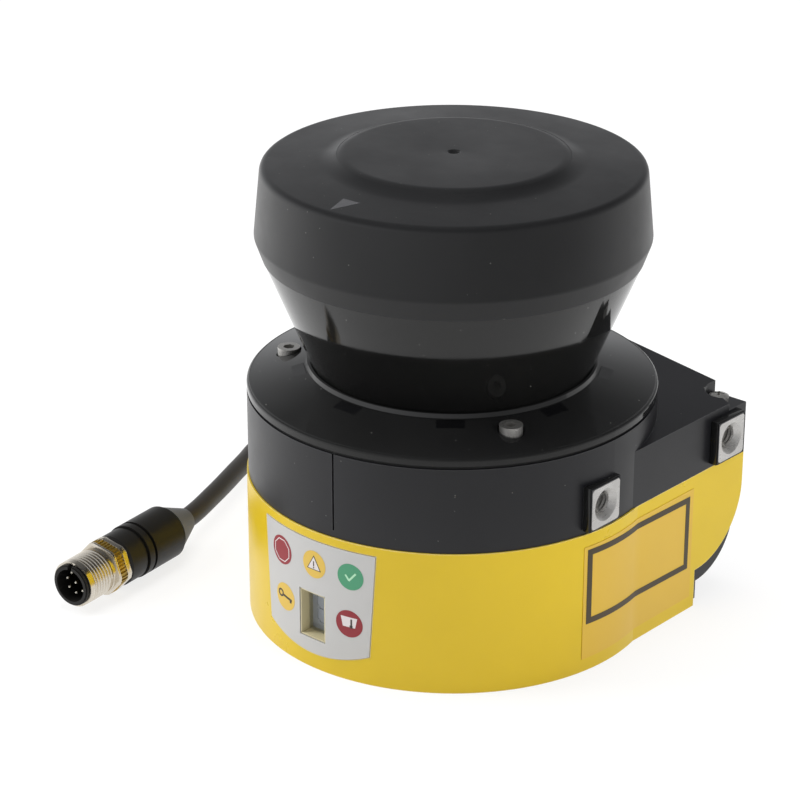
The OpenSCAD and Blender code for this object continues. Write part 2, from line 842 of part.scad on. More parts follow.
module motor_stator() {
    outer_r = bell_r - 0.5;
    low = bell_low_z + 4;
    height = bell_top_z - 1 - low;
    color("#a5673f") translate([0, 0, low]) difference() {
        cylinder(r = outer_r, h = height);
        rod(hub_r + 0.02, -1, height + 1);
        for (k = [0:poles - 1]) rotate([0, 0, k * 360 / poles]) {
            translate([outer_r - 2, -0.7, -1]) cube([4, 1.4, height + 2]);
            translate([outer_r - 3.2, 0, -1]) cylinder(r = 1.7, h = height + 2);
        }
    }
}

module motor_bell() {
    color("#5d6166") difference() {
        rod(bell_r + bell_wall, bell_low_z, bell_top_z);
        rod(bell_r, bell_low_z + bell_wall, bell_top_z + 1);
        rod(shaft_r + 0.02, bell_low_z - 1, bell_top_z);
        for (k = [0:5]) rotate([0, 0, k * 60]) translate([bell_r * 0.62, 0, bell_low_z - 1])
            cylinder(r = 2.2, h = bell_wall + 2);
    }
}

module mirror_shaft() {
    color("#d4d6d8") rod(shaft_r, bell_low_z, carrier_z + 9);
}

module encoder_disc() {
    color("#cfd3d8") translate([0, 0, encoder_z]) difference() {
        cylinder(r = encoder_r, h = encoder_t);
        rod(shaft_r + 0.02, -1, encoder_t + 1);
        for (k = [0:encoder_slits - 1]) rotate([0, 0, k * 360 / encoder_slits])
            translate([encoder_r - 2.6, -0.55, -1]) cube([1.7, 1.1, encoder_t + 2]);
    }
}

// Fork light barrier whose jaws reach over the encoder disc
module encoder_sensor() {
    gap = 0.6;
    low = encoder_z - gap;
    high = encoder_z + encoder_t + gap;
    color("#202225") translate([-encoder_r - 5, -4, 0]) difference() {
        translate([0, 0, chassis_top_z]) cube([7.4, 8, high + 1.4 - chassis_top_z]);
        translate([3.6, -1, low]) cube([10, 10, high - low]);
    }
}

// Space below the 45 degree mirror plane, raised by the given height
module below_mirror(raise) {
    along_x(far) polygon([[-60, scan_z - 60 + raise], [60, scan_z + 60 + raise],
                          [60, -10], [-60, -10]]);
}

module mirror_carrier() {
    color("#3b3e42") difference() {
        intersection() {
            rod(mirror_r, carrier_z, scan_z + mirror_r + 5);
            below_mirror(0);
        }
        rod(shaft_r + 0.02, carrier_z - 1, carrier_z + 9);
        translate([-mirror_r, mirror_r - 7, carrier_z + 4]) cube([2 * mirror_r, 3, 8]);
    }
}

module scan_mirror() {
    color("#dfe6ee") difference() {
        intersection() {
            rod(mirror_r, carrier_z, scan_z + mirror_r + 5);
            below_mirror(mirror_t * sqrt(2));
        }
        below_mirror(0);
    }
}

module receiver_lens() {
    bulge = 2.2;
    ball_r = (lens_r * lens_r + bulge * bulge) / (2 * bulge);
    color("#bcd2e6", 0.5) translate([0, 0, platform_z + 1]) difference() {
        union() {
            cylinder(r = lens_r, h = 1.6);
            translate([0, 0, 1.6]) intersection() {
                translate([0, 0, bulge - ball_r]) sphere(r = ball_r);
                cylinder(r = lens_r, h = bulge + 1);
            }
        }
        rod(laser_r + 0.1, -1, 6);
    }
}

module laser_transmitter() {
    top = receiver_board_z + receiver_board_t;
    color("#77797d") {
        rod(laser_r, platform_z + 1, top);
        rod(laser_r + 2.5, top, top + 2);
        rod(2.2, top + 2, top + 3.4);
    }
}

module receiver_board() {
    color("#1f6b3a") difference() {
        rod(receiver_board_r, receiver_board_z, receiver_board_z + receiver_board_t);
        rod(laser_r + 0.05, receiver_board_z - 1, receiver_board_z + 3);
        for (a = standoff_angles) rotate([0, 0, a]) translate([standoff_r, 0, 0])
            rod(standoff_screw_r + play, receiver_board_z - 1, receiver_board_z + 3);
    }
}

module receiver_standoffs() {
    low = platform_z + platform_t;
    color("#c9a24b") for (a = standoff_angles) rotate([0, 0, a]) translate([standoff_r, 0, 0]) {
        translate([0, 0, low]) cylinder(r = 2.6, h = receiver_board_z - low, $fn = 6);
        rod(standoff_screw_r, low, receiver_board_z + 2.8);
    }
}

// ---------- cable and plug ----------

// Tapered, ribbed strain relief that stands on the outlet boss
module cable_gland() {
    rib = 0.35;
    root_r = 5.2;
    ribs = 4;
    step = (gland_len - 3.5) / ribs;
    taper = (root_r - cable_r - 0.9) / ribs;
    color("#1c1c1e") translate([gland_x, gland_seat_y, gland_z]) rotate([-90, 0, 0]) {
        cylinder(r = gland_r, h = 3.5);
        for (k = [0:ribs - 1]) translate([0, 0, 3.5 + k * step]) {
            cylinder(r = root_r - k * taper, h = step - 1);
            translate([0, 0, step - 1]) cylinder(r = root_r - k * taper - rib, h = 1);
        }
    }
}

ring_count = len(cable_points);
function unit(v) = v / norm(v);
function heading(k) = k == 0 ? [0, 1, 0]
    : k == ring_count - 1 ? [sin(plug_turn), -cos(plug_turn), 0]
    : unit(unit(cable_points[k + 1] - cable_points[k])
           + unit(cable_points[k] - cable_points[k - 1]));
function ring(k) = let (d = heading(k), side = unit(cross(d, [0, 0, 1])), up = cross(side, d))
    [for (j = [0:cable_sides - 1]) let (a = 360 * j / cable_sides)
        cable_points[k] + cable_r * (cos(a) * side + sin(a) * up)];

module connection_cable() {
    points = [for (k = [0:ring_count - 1]) each ring(k)];
    sides = [for (k = [0:ring_count - 2]) for (j = [0:cable_sides - 1])
        let (i = (j + 1) % cable_sides, a = k * cable_sides, b = a + cable_sides)
            [a + j, a + i, b + i, b + j]];
    first_end = [for (j = [cable_sides - 1:-1:0]) j];
    last_end = [for (j = [0:cable_sides - 1]) (ring_count - 1) * cable_sides + j];
    color("#3a3938") polyhedron(points, concat([first_end], sides, [last_end]));
}

// Places children on the plug's axis, +Z towards its face, s from the end of its tail
module on_plug(s) {
    translate(plug_tail_end) rotate([0, 0, plug_turn]) rotate([90, 0, 0])
        translate([0, 0, s]) children();
}

module plug_tail() {
    color("#77787a") on_plug(0)
        cylinder(r1 = cable_r + 0.4, r2 = plug_r - 0.5, h = plug_tail_len);
}

module plug_body() {
    chamfer = 0.8;
    neck_len = 6.1;
    neck_r = plug_r - 0.3;
    groove_w = 0.9;
    groove_pitch = 2.8;
    color("#1b1b1d") on_plug(plug_tail_len) difference() {
        union() {
            cylinder(r1 = plug_r - chamfer, r2 = plug_r, h = chamfer);
            rod(plug_r, chamfer, plug_len - neck_len);
            rod(neck_r, plug_len - neck_len - 1, plug_len - chamfer);
            translate([0, 0, plug_len - chamfer])
                cylinder(r1 = neck_r, r2 = neck_r - chamfer, h = chamfer);
        }
        for (k = [0, 1]) translate([0, 0, plug_len - neck_len - groove_w - k * groove_pitch])
            difference() {
                cylinder(r = plug_r + 1, h = groove_w);
                rod(plug_r - 0.8, -1, 2);
            }
    }
}

nut_s = plug_tail_len + plug_len;

module coupling_nut() {
    end = nut_len + nut_thread_len;
    color("#c9b27a") on_plug(nut_s) difference() {
        union() {
            translate([0, 0, 0.1]) intersection() {
                rotate([0, 0, nut_turn])
                    cylinder(r = nut_af / 2 / cos(30), h = nut_len - 0.1, $fn = 6);
                rod(nut_corner_r, 0, nut_len);
            }
            rod(nut_thread_r, nut_len - 0.5, end - 0.5);
            translate([0, 0, end - 0.5])
                cylinder(r1 = nut_thread_r, r2 = nut_thread_r - 0.5, h = 0.5);
        }
        rod(insert_face_r + play, -1, far);
        rod(insert_head_r, 4, far);
    }
}

cup_end = nut_len + nut_thread_len + 1;
cup_floor = cup_end - 7;

module plug_insert() {
    color("#161618") on_plug(nut_s) difference() {
        union() {
            rod(insert_face_r, 0, cup_end);
            // head that keeps the nut on the plug
            rod(insert_head_r, nut_len + nut_thread_len + 0.1, cup_end - 0.3);
        }
        rod(insert_face_r - 0.75, cup_floor, far);
        // coding slot
        translate([-0.6, insert_face_r - 1.6, cup_floor]) cube([1.2, 3, far]);
    }
}

module contact_pins() {
    tip = cup_end - 2.5;
    color("#d8b45a") on_plug(nut_s) for (p = pin_places) translate(p) {
        rod(pin_r, cup_floor, tip);
        translate([0, 0, tip]) cylinder(r1 = pin_r, r2 = pin_r * 0.5, h = 0.4);
    }
}

main_housing();
yellow_cover();
base_plate();
base_plate_screws();
mounting_inserts();
corner_screws();
indicator_panel();
display_window();
light_guides();
display_board();
status_leds();
seven_segment_display();
side_label();
main_board();
main_board_parts();
main_board_screws();
cover_gasket();
optics_cover();
optics_cover_screws();
optics_cap();
optics_chassis();
chassis_screws();
window_sensors();
flex_cable();
shaft_bearings();
motor_stator();
motor_bell();
mirror_shaft();
encoder_disc();
encoder_sensor();
mirror_carrier();
scan_mirror();
receiver_lens();
laser_transmitter();
receiver_board();
receiver_standoffs();
display_board_screws();
cable_gland();
connection_cable();
plug_tail();
plug_body();
coupling_nut();
plug_insert();
contact_pins();
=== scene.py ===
# %% [markdown]
# # A compact safety laser scanner
# The scanner is a stack: a yellow front cover over a black housing, a polished black
# window with a narrow waist, and a matt cap. A short cable with a round plug lies beside it.
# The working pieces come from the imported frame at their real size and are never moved, so
# this lesson is about two other things: giving every surface its own finish, and modelling
# the fine pieces that sit on top, such as threads, printed signs and the cable.

# %% Load the frame
import json
import math

import bmesh
import bpy
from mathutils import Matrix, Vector


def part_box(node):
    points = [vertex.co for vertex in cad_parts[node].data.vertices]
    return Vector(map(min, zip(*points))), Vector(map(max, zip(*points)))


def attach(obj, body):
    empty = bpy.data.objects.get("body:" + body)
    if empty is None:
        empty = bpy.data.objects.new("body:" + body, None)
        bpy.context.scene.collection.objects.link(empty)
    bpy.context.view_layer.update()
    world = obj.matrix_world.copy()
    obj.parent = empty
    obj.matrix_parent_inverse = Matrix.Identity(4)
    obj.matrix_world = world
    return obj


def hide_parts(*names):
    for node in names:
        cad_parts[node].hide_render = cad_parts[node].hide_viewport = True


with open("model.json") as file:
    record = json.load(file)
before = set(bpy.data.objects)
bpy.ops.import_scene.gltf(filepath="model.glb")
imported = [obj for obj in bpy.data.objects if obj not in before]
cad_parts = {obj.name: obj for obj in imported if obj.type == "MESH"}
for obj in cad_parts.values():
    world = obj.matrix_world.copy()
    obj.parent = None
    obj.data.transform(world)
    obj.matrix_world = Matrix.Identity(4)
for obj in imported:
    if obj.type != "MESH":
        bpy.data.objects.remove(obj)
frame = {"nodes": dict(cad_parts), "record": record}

mm = 0.001
scene = bpy.context.scene
nodes = frame["nodes"]
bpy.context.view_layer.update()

# %% [markdown]
# ## The camera
# A product is often shown from far away with a long lens, so that its upright edges stay
# nearly parallel. The camera stands 0.7 m away and looks down at 23.5 degrees, and its lens
# is longer than the usual portrait lens. The studio's light is set out from the camera's
# side, and nothing else in the lesson depends on it.

# %% Camera
camera_data = bpy.data.cameras.new("studio_camera")
camera_data.sensor_width = 36
camera_data.lens = 125.63
camera_data.clip_start = 0.05
camera_data.clip_end = 30
camera = bpy.data.objects.new("studio_camera", camera_data)
camera.location = (0.40189, -0.47094, 0.32268)
camera.rotation_euler = (math.radians(66.45), 0, math.radians(41.64))
scene.collection.objects.link(camera)
scene.camera = camera
scene.view_settings.view_transform = "Standard"
print("camera:", round(camera.location.length, 3), "m from the scan axis' foot")

# %% [markdown]
# ## The connection cable
# The real cable is a fixed length of sheathed wire. It leaves the gland at the back, drops to
# the floor, sweeps round the scanner's left side and rises a little into the plug's tail.
# A curve is the natural tool: the route is a list of given points, a smooth line is
# run through them, and the curve's bevel gives the round sheath. Blender's box round a curve
# takes in the radius of its points, so the bevel's depth is one and the points carry the
# sheath's radius. The sheath is drawn a hair thin, so that it stays inside the frame's box.

# %% Cable
cable_radius = 2.7 * mm
drawn_thinner = 0.05 * mm
cable_lead = 6 * mm
gland_tip = Vector((-0.014, 0.0735, 0.018))
tail_end = Vector((-0.0692, -0.0243, 0.0072))
plug_turn = math.radians(7)
plug_axis = Vector((math.sin(plug_turn), -math.cos(plug_turn), 0))
cable_route = [
    gland_tip, (-0.014, 0.08, 0.0176), (-0.0152, 0.087, 0.016), (-0.019, 0.0935, 0.0132),
    (-0.025, 0.0985, 0.0096), (-0.033, 0.1015, 0.0062), (-0.042, 0.1025, 0.0039),
    (-0.0515, 0.1015, 0.0029), (-0.061, 0.0988, 0.0028), (-0.07, 0.0943, 0.0028),
    (-0.0785, 0.0883, 0.0028), (-0.0857, 0.0808, 0.0028), (-0.0912, 0.072, 0.0028),
    (-0.0948, 0.0623, 0.0028), (-0.0962, 0.052, 0.0028), (-0.0956, 0.0415, 0.0032),
    (-0.0932, 0.0315, 0.004), (-0.0896, 0.0225, 0.0049), (-0.0854, 0.0144, 0.0056),
    (-0.0811, 0.0055, 0.0063), (-0.0771, -0.003, 0.0068), (-0.0737, -0.011, 0.0071),
    (-0.0708, -0.0185, 0.0072), tail_end]


def smooth_line(points, steps):
    """Runs a smooth line through the points, with the given number of steps between two."""
    points = [Vector(p) for p in points]
    before = points[0] - Vector((0, 1, 0)) * cable_lead
    after = points[-1] + plug_axis * cable_lead
    padded = [before] + points + [after]
    line = []
    for i in range(1, len(padded) - 2):
        a, b, c, d = padded[i - 1:i + 3]
        for step in range(steps):
            t = step / steps
            line.append(0.5 * (2 * b + (c - a) * t + (2 * a - 5 * b + 4 * c - d) * t * t
                               + (3 * b - a - 3 * c + d) * t * t * t))
    return line + [points[-1]]


cable_line = smooth_line(cable_route, 5)
cable_data = bpy.data.curves.new("signal_cable", "CURVE")
cable_data.dimensions = "3D"
cable_data.bevel_depth = 1.0
cable_data.bevel_resolution = 7
cable_data.use_fill_caps = True
cable_spline = cable_data.splines.new("POLY")
cable_spline.points.add(len(cable_line) - 1)
for spline_point, place in zip(cable_spline.points, cable_line):
    spline_point.co = (*place, 1)
    spline_point.radius = cable_radius - drawn_thinner
signal_cable = bpy.data.objects.new("signal_cable", cable_data)
scene.collection.objects.link(signal_cable)
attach(signal_cable, "scanner")
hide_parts("connection_cable")

# %% [markdown]
# ## Studio
# The setting is a pale floor under soft light. The camera sees the floor nearly white, but
# black plastic shows little more than what it mirrors, so reflections get a room of their
# own: a bright band low behind the object, a dark ceiling, and more light on the left than
# on the right. A light path node tells which kind of ray is asking.

# %% World
def shader_tree(owner):
    """Gives a material or world an empty node tree."""
    owner.use_nodes = True
    owner.node_tree.nodes.clear()
    return owner.node_tree


def math_node(tree, operation, a, b=None, clamp=False):
    """A Math node, fed by sockets or numbers."""
    node = tree.nodes.new("ShaderNodeMath")
    node.operation = operation
    node.use_clamp = clamp
    for slot, value in enumerate((a, b)):
        if value is None:
            continue
        if isinstance(value, (int, float)):
            node.inputs[slot].default_value = value
        else:
            tree.links.new(value, node.inputs[slot])
    return node.outputs[0]


def spread(tree, value, start, stop, low, high):
    """Turns a value between start and stop into one between low and high."""
    node = tree.nodes.new("ShaderNodeMapRange")
    for label, number in (("From Min", start), ("From Max", stop),
                          ("To Min", low), ("To Max", high)):
        node.inputs[label].default_value = number
    tree.links.new(value, node.inputs["Value"])
    return node.outputs["Result"]


def towards(tree, vector, direction):
    """How far a vector runs in a direction."""
    node = tree.nodes.new("ShaderNodeVectorMath")
    node.operation = "DOT_PRODUCT"
    tree.links.new(vector, node.inputs[0])
    node.inputs[1].default_value = direction
    return node.outputs["Value"]


def either(tree, flag, when_set, otherwise):
    """One of two numbers, picked by a flag that is nought or one."""
    first = math_node(tree, "MULTIPLY", flag, when_set)
    second = math_node(tree, "MULTIPLY", math_node(tree, "SUBTRACT", 1.0, flag), otherwise)
    return math_node(tree, "ADD", first, second)


up = (0, 0, 1)
left_side = (-0.747, -0.664, 0.0)
away = (-0.664, 0.747, 0.0)
room_light = 0.42
backdrop_white = 1.0
world = bpy.data.worlds.new("studio_world")
scene.world = world
world_tree = shader_tree(world)
world_rays = world_tree.nodes.new("ShaderNodeLightPath")
sky_direction = world_tree.nodes.new("ShaderNodeTexCoord").outputs["Generated"]
low_band = spread(world_tree, towards(world_tree, sky_direction, up),
                  start=0.1, stop=0.6, low=0.62, high=0.12)
side_glow = spread(world_tree, towards(world_tree, sky_direction, left_side),
                   start=-0.5, stop=0.9, low=0.7, high=1.9)
mirrored_room = math_node(world_tree, "MULTIPLY", low_band, side_glow)
room = world_tree.nodes.new("ShaderNodeBackground")
room.inputs["Color"].default_value = (0.97, 0.98, 1, 1)
unseen_strength = either(world_tree, world_rays.outputs["Is Glossy Ray"], mirrored_room,
                         room_light)
room_strength = either(world_tree, world_rays.outputs["Is Camera Ray"], backdrop_white,
                       unseen_strength)
world_tree.links.new(room_strength, room.inputs["Strength"])
world_out = world_tree.nodes.new("ShaderNodeOutputWorld")
world_tree.links.new(room.outputs[0], world_out.inputs[0])

# %% Floor
floor_glow = 0.72
bpy.ops.mesh.primitive_plane_add(size=8, location=(0, 0, 0))
floor = bpy.context.object
floor.name = "studio_floor"
floor_material = bpy.data.materials.new("studio_floor")
floor_tree = shader_tree(floor_material)
floor_rays = floor_tree.nodes.new("ShaderNodeLightPath")
floor_place = floor_tree.nodes.new("ShaderNodeTexCoord").outputs["Object"]
floor_matt = floor_tree.nodes.new("ShaderNodeBsdfDiffuse")
floor_matt.inputs["Color"].default_value = (0.8, 0.8, 0.8, 1)
floor_white = floor_tree.nodes.new("ShaderNodeEmission")
floor_white.inputs["Strength"].default_value = 1.1
floor_mirrored = floor_tree.nodes.new("ShaderNodeEmission")
# For glossy rays the floor is a painted pool of light: bright behind the object, dimmer towards
# the camera, and brighter on the left.
painted_light_pool = spread(floor_tree, towards(floor_tree, floor_place, away),
                    start=-0.3, stop=0.1, low=0.4, high=1.0)
painted_left_light = spread(floor_tree, towards(floor_tree, floor_place, left_side),
                    start=-0.25, stop=0.3, low=0.85, high=1.3)
floor_tree.links.new(math_node(floor_tree, "MULTIPLY", painted_light_pool, painted_left_light),
                     floor_mirrored.inputs["Strength"])
floor_seen = floor_tree.nodes.new("ShaderNodeMixShader")
floor_kind = floor_tree.nodes.new("ShaderNodeMixShader")
floor_out = floor_tree.nodes.new("ShaderNodeOutputMaterial")
seen_straight = math_node(floor_tree, "ADD", floor_rays.outputs["Is Camera Ray"],
                          floor_rays.outputs["Is Transmission Ray"], clamp=True)
floor_tree.links.new(math_node(floor_tree, "MULTIPLY", seen_straight, floor_glow),
                     floor_seen.inputs[0])
floor_tree.links.new(floor_matt.outputs[0], floor_seen.inputs[1])
floor_tree.links.new(floor_white.outputs[0], floor_seen.inputs[2])
floor_tree.links.new(floor_rays.outputs["Is Glossy Ray"], floor_kind.inputs[0])
floor_tree.links.new(floor_seen.outputs[0], floor_kind.inputs[1])
floor_tree.links.new(floor_mirrored.outputs[0], floor_kind.inputs[2])
floor_tree.links.new(floor_kind.outputs[0], floor_out.inputs[0])
floor.data.materials.append(floor_material)


# %% Lamps
def area_lamp(name, place, aim, width, height, power):
    """A soft box at place that shines at aim."""
    data = bpy.data.lights.new(name, "AREA")
    data.shape = "RECTANGLE"
    data.size = width
    data.size_y = height
    data.energy = power
    lamp = bpy.data.objects.new(name, data)
    lamp.location = place
    lamp.rotation_euler = (Vector(aim) - Vector(place)).to_track_quat("-Z", "Y").to_euler()
    lamp.visible_glossy = False
    scene.collection.objects.link(lamp)
    return lamp


middle = (0, 0, 0.05)
lamps = [
    area_lamp("key_left", (-0.75, -0.6, 0.62), middle, width=0.5, height=0.7, power=8.0),
    area_lamp("fill_right", (0.8, 0.05, 0.4), middle, width=0.25, height=0.5, power=2.6),
    area_lamp("top_box", (-0.1, 0.1, 1.0), middle, width=0.7, height=0.5, power=6.0),
]
print("studio:", len(lamps), "soft lamps")

# %% [markdown]
# ## Shared effects
# Three effects return in many finishes. Moulded grain is a very fine bump with a slow change
# of tone, handling marks change how shiny a surface is, and the edge effect paints sharp edges
# paler: a painted highlight where a rounded edge would catch the light, and on metal also wear.
# Each is a node group, built once and placed in each material with its own numbers. A group
# returns only values, and the shader with its own constants stays in the material.

# %% Node groups
def value_group(name, inputs, outputs):
    """An empty node group with float or vector inputs and float outputs."""
    group = bpy.data.node_groups.new(name, "ShaderNodeTree")
    for label, kind, start in inputs:
        socket = group.interface.new_socket(label, in_out="INPUT", socket_type=kind)
        if start is not None:
            socket.default_value = start
    for label in outputs:
        group.interface.new_socket(label, in_out="OUTPUT", socket_type="NodeSocketFloat")
    return group, group.nodes.new("NodeGroupInput"), group.nodes.new("NodeGroupOutput")


def noise_node(tree, vector, scale, detail=2.0, roughness=0.5, stretch=None):
    """Noise at so many waves a metre, stretched along an axis where asked."""
    if stretch:
        mapping = tree.nodes.new("ShaderNodeMapping")
        mapping.inputs["Scale"].default_value = stretch
        tree.links.new(vector, mapping.inputs["Vector"])
        vector = mapping.outputs["Vector"]
    noise = tree.nodes.new("ShaderNodeTexNoise")
    noise.inputs["Detail"].default_value = detail
    noise.inputs["Roughness"].default_value = roughness
    tree.links.new(vector, noise.inputs["Vector"])
    if isinstance(scale, (int, float)):
        noise.inputs["Scale"].default_value = scale
    else:
        tree.links.new(scale, noise.inputs["Scale"])
    return noise.outputs[0]


def make_moulded_grain():
    """Grain height for a bump, and a slow tone, for a moulded surface."""
    group, given, result = value_group(
        "moulded_grain",
        [("Vector", "NodeSocketVector", None), ("Grain per metre", "NodeSocketFloat", 2500.0),
         ("Tone per metre", "NodeSocketFloat", 30.0)], ["Height", "Tone"])
    fine = noise_node(group, given.outputs["Vector"], given.outputs["Grain per metre"],
                      detail=3.0, roughness=0.6)
    slow = noise_node(group, given.outputs["Vector"], given.outputs["Tone per metre"],
                      detail=3.0)
    group.links.new(fine, result.inputs["Height"])
    group.links.new(slow, result.inputs["Tone"])
    return group


speck_reach = 0.09
speck_rarity = 0.93


def make_handling_marks():
    """Smudges near one half, and specks: a few cells of a pattern, and only their middles."""
    group, given, result = value_group(
        "handling_marks",
        [("Vector", "NodeSocketVector", None), ("Size per metre", "NodeSocketFloat", 45.0),
         ("Specks per metre", "NodeSocketFloat", 700.0)], ["Smudge", "Speck"])
    smudge = noise_node(group, given.outputs["Vector"], given.outputs["Size per metre"],
                        detail=5.0, roughness=0.62)
    cells = group.nodes.new("ShaderNodeTexVoronoi")
    group.links.new(given.outputs["Vector"], cells.inputs["Vector"])
    group.links.new(given.outputs["Specks per metre"], cells.inputs["Scale"])
    near = math_node(group, "LESS_THAN", cells.outputs["Distance"], speck_reach)
    tint = group.nodes.new("ShaderNodeSeparateColor")
    group.links.new(cells.outputs["Color"], tint.inputs[0])
    rare = math_node(group, "GREATER_THAN", tint.outputs[0], speck_rarity)
    group.links.new(smudge, result.inputs["Smudge"])
    group.links.new(math_node(group, "MULTIPLY", near, rare), result.inputs["Speck"])
    return group


# Paler edges: a painted highlight where a rounded edge catches the light, and on metal also wear.
def make_edge_wear_and_highlight():
    """One on sharp edges and nought on flat faces, broken up by noise."""
    group, given, result = value_group(
        "edge_wear_and_highlight",
        [("Vector", "NodeSocketVector", None), ("Radius", "NodeSocketFloat", 0.4 * mm),
         ("Strength", "NodeSocketFloat", 3.0)], ["Edge"])
    bevel = group.nodes.new("ShaderNodeBevel")
    bevel.samples = 4
    group.links.new(given.outputs["Radius"], bevel.inputs["Radius"])
    surface = group.nodes.new("ShaderNodeNewGeometry")
    dot = group.nodes.new("ShaderNodeVectorMath")
    dot.operation = "DOT_PRODUCT"
    group.links.new(bevel.outputs[0], dot.inputs[0])
    group.links.new(surface.outputs["Normal"], dot.inputs[1])
    turn = math_node(group, "SUBTRACT", 1.0, dot.outputs["Value"])
    sharp = math_node(group, "MULTIPLY", turn, given.outputs["Strength"], clamp=True)
    patchy = noise_node(group, given.outputs["Vector"], 260.0, detail=3.0, roughness=0.6)
    group.links.new(math_node(group, "MULTIPLY", sharp, patchy), result.inputs["Edge"])
    return group


moulded_grain = make_moulded_grain()
handling_marks = make_handling_marks()
edge_wear_and_highlight = make_edge_wear_and_highlight()
print("effects:", [g.name for g in bpy.data.node_groups])

# %% [markdown]
# ## Finishes
# Colours are picked as they look on a screen and turned into linear light here. A finish
# is never one flat colour: plastic gets a slow tone and a grain, and metal gets fine turning
# or brushing lines, a little patchiness in its shine and brighter edges, which are wear and a
# painted highlight.

# %% Finish helpers
def linear(red, green, blue):
    """A screen colour, 0 to 255, as linear light."""
    def channel(value):
        share = value / 255
        return share / 12.92 if share <= 0.04045 else ((share + 0.055) / 1.055) ** 2.4
    return (channel(red), channel(green), channel(blue), 1)


def mixed_colour(tree, factor, first, second):
    """A colour between two, by a factor socket."""
    mix = tree.nodes.new("ShaderNodeMix")
    mix.data_type = "RGBA"
    tree.links.new(factor, mix.inputs[0])
    for socket, value in ((mix.inputs[6], first), (mix.inputs[7], second)):
        if isinstance(value, tuple):
            socket.default_value = value
        else:
            tree.links.new(value, socket)
    return mix.outputs[2]


def ranged(tree, value, low, high):
    """Turns a noise value, most of which lies near one half, into a range."""
    return spread(tree, value, 0.3, 0.7, low, high)


def new_finish(name):
    """A material with a shader, its output and the object's own coordinates."""
    material = bpy.data.materials.new(name)
    tree = shader_tree(material)
    shader = tree.nodes.new("ShaderNodeBsdfPrincipled")
    out = tree.nodes.new("ShaderNodeOutputMaterial")
    tree.links.new(shader.outputs[0], out.inputs[0])
    where = tree.nodes.new("ShaderNodeTexCoord").outputs["Object"]
    return material, tree, shader, where


def use_group(tree, group, where, **numbers):
    """Places a shared effect and sets its numbers."""
    node = tree.nodes.new("ShaderNodeGroup")
    node.node_tree = group
    tree.links.new(where, node.inputs["Vector"])
    for label, value in numbers.items():
        node.inputs[label.replace("_", " ")].default_value = value
    return node


def add_bump(tree, shader, height, strength, distance):
    """Feeds a height into the shader's normal."""
    bump = tree.nodes.new("ShaderNodeBump")
    bump.inputs["Strength"].default_value = strength
    bump.inputs["Distance"].default_value = distance
    tree.links.new(height, bump.inputs["Height"])
    tree.links.new(bump.outputs[0], shader.inputs["Normal"])


# %% Plastic, metal and clear finishes
speck_grey = linear(170, 170, 165)
dust_grey = linear(92, 92, 94)
edge_gain = 1.25


def plastic(name, colour, shade, roughness, grain=2500.0, depth=0.25, specks=0.0, edge=None,
            dust=0.0, specular=0.5):
    """A moulded plastic: tone between two colours, a roughness range and a grain."""
    material, tree, shader, where = new_finish(name)
    surface = use_group(tree, moulded_grain, where, Grain_per_metre=grain)
    marks = use_group(tree, handling_marks, where)
    base = mixed_colour(tree, ranged(tree, surface.outputs["Tone"], 0, 1), colour, shade)
    if specks:
        faint = math_node(tree, "MULTIPLY", marks.outputs["Speck"], specks)
        base = mixed_colour(tree, faint, base, speck_grey)
    if dust:
        facing = tree.nodes.new("ShaderNodeNewGeometry").outputs["Normal"]
        upward = spread(tree, towards(tree, facing, up), start=0.3, stop=1.0, low=0.0,
                        high=dust)
        settled = math_node(tree, "MULTIPLY", upward, marks.outputs["Smudge"])
        base = mixed_colour(tree, settled, base, dust_grey)
    # Paler edges: a painted highlight where a rounded edge would catch the light.
    if edge:
        rim = use_group(tree, edge_wear_and_highlight, where, Radius=0.35 * mm, Strength=6.0)
        base = mixed_colour(tree, rim.outputs["Edge"], base, edge)
    tree.links.new(base, shader.inputs["Base Color"])
    tree.links.new(ranged(tree, marks.outputs["Smudge"], roughness[0], roughness[1]),
                   shader.inputs["Roughness"])
    add_bump(tree, shader, surface.outputs["Height"], strength=depth, distance=0.02 * mm)
    shader.inputs["Specular IOR Level"].default_value = specular
    return material


def metal(name, colour, shade, roughness, stretch=(1, 1, 1), lines=3000.0, depth=0.2,
          metallic=1.0):
    """A worked metal: lines along or round the piece, patchy shine, edges of wear and painted
    highlight.
    """
    material, tree, shader, where = new_finish(name)
    marks = use_group(tree, handling_marks, where, Size_per_metre=160.0)
    rim = use_group(tree, edge_wear_and_highlight, where, Radius=0.25 * mm, Strength=4.0)
    fine = noise_node(tree, where, lines, detail=2.0, roughness=0.7, stretch=stretch)
    base = mixed_colour(tree, ranged(tree, marks.outputs["Smudge"], 0, 1), colour, shade)
    # Brighter edges: wear, and a painted highlight where the edge would catch the light.
    bright = tuple(min(1.0, c * edge_gain) for c in colour[:3]) + (1,)
    base = mixed_colour(tree, rim.outputs["Edge"], base, bright)
    tree.links.new(base, shader.inputs["Base Color"])
    tree.links.new(ranged(tree, fine, roughness[0], roughness[1]), shader.inputs["Roughness"])
    shader.inputs["Metallic"].default_value = metallic
    add_bump(tree, shader, fine, strength=depth, distance=0.015 * mm)
    return material


def clear(name, colour, roughness):
    """A small clear piece with faint smudges."""
    material, tree, shader, where = new_finish(name)
    marks = use_group(tree, handling_marks, where, Size_per_metre=200.0)
    tree.links.new(ranged(tree, marks.outputs["Smudge"], roughness, roughness + 0.08),
                   shader.inputs["Roughness"])
    shader.inputs["Base Color"].default_value = colour
    shader.inputs["Transmission Weight"].default_value = 1.0
    shader.inputs["IOR"].default_value = 1.49
    return material
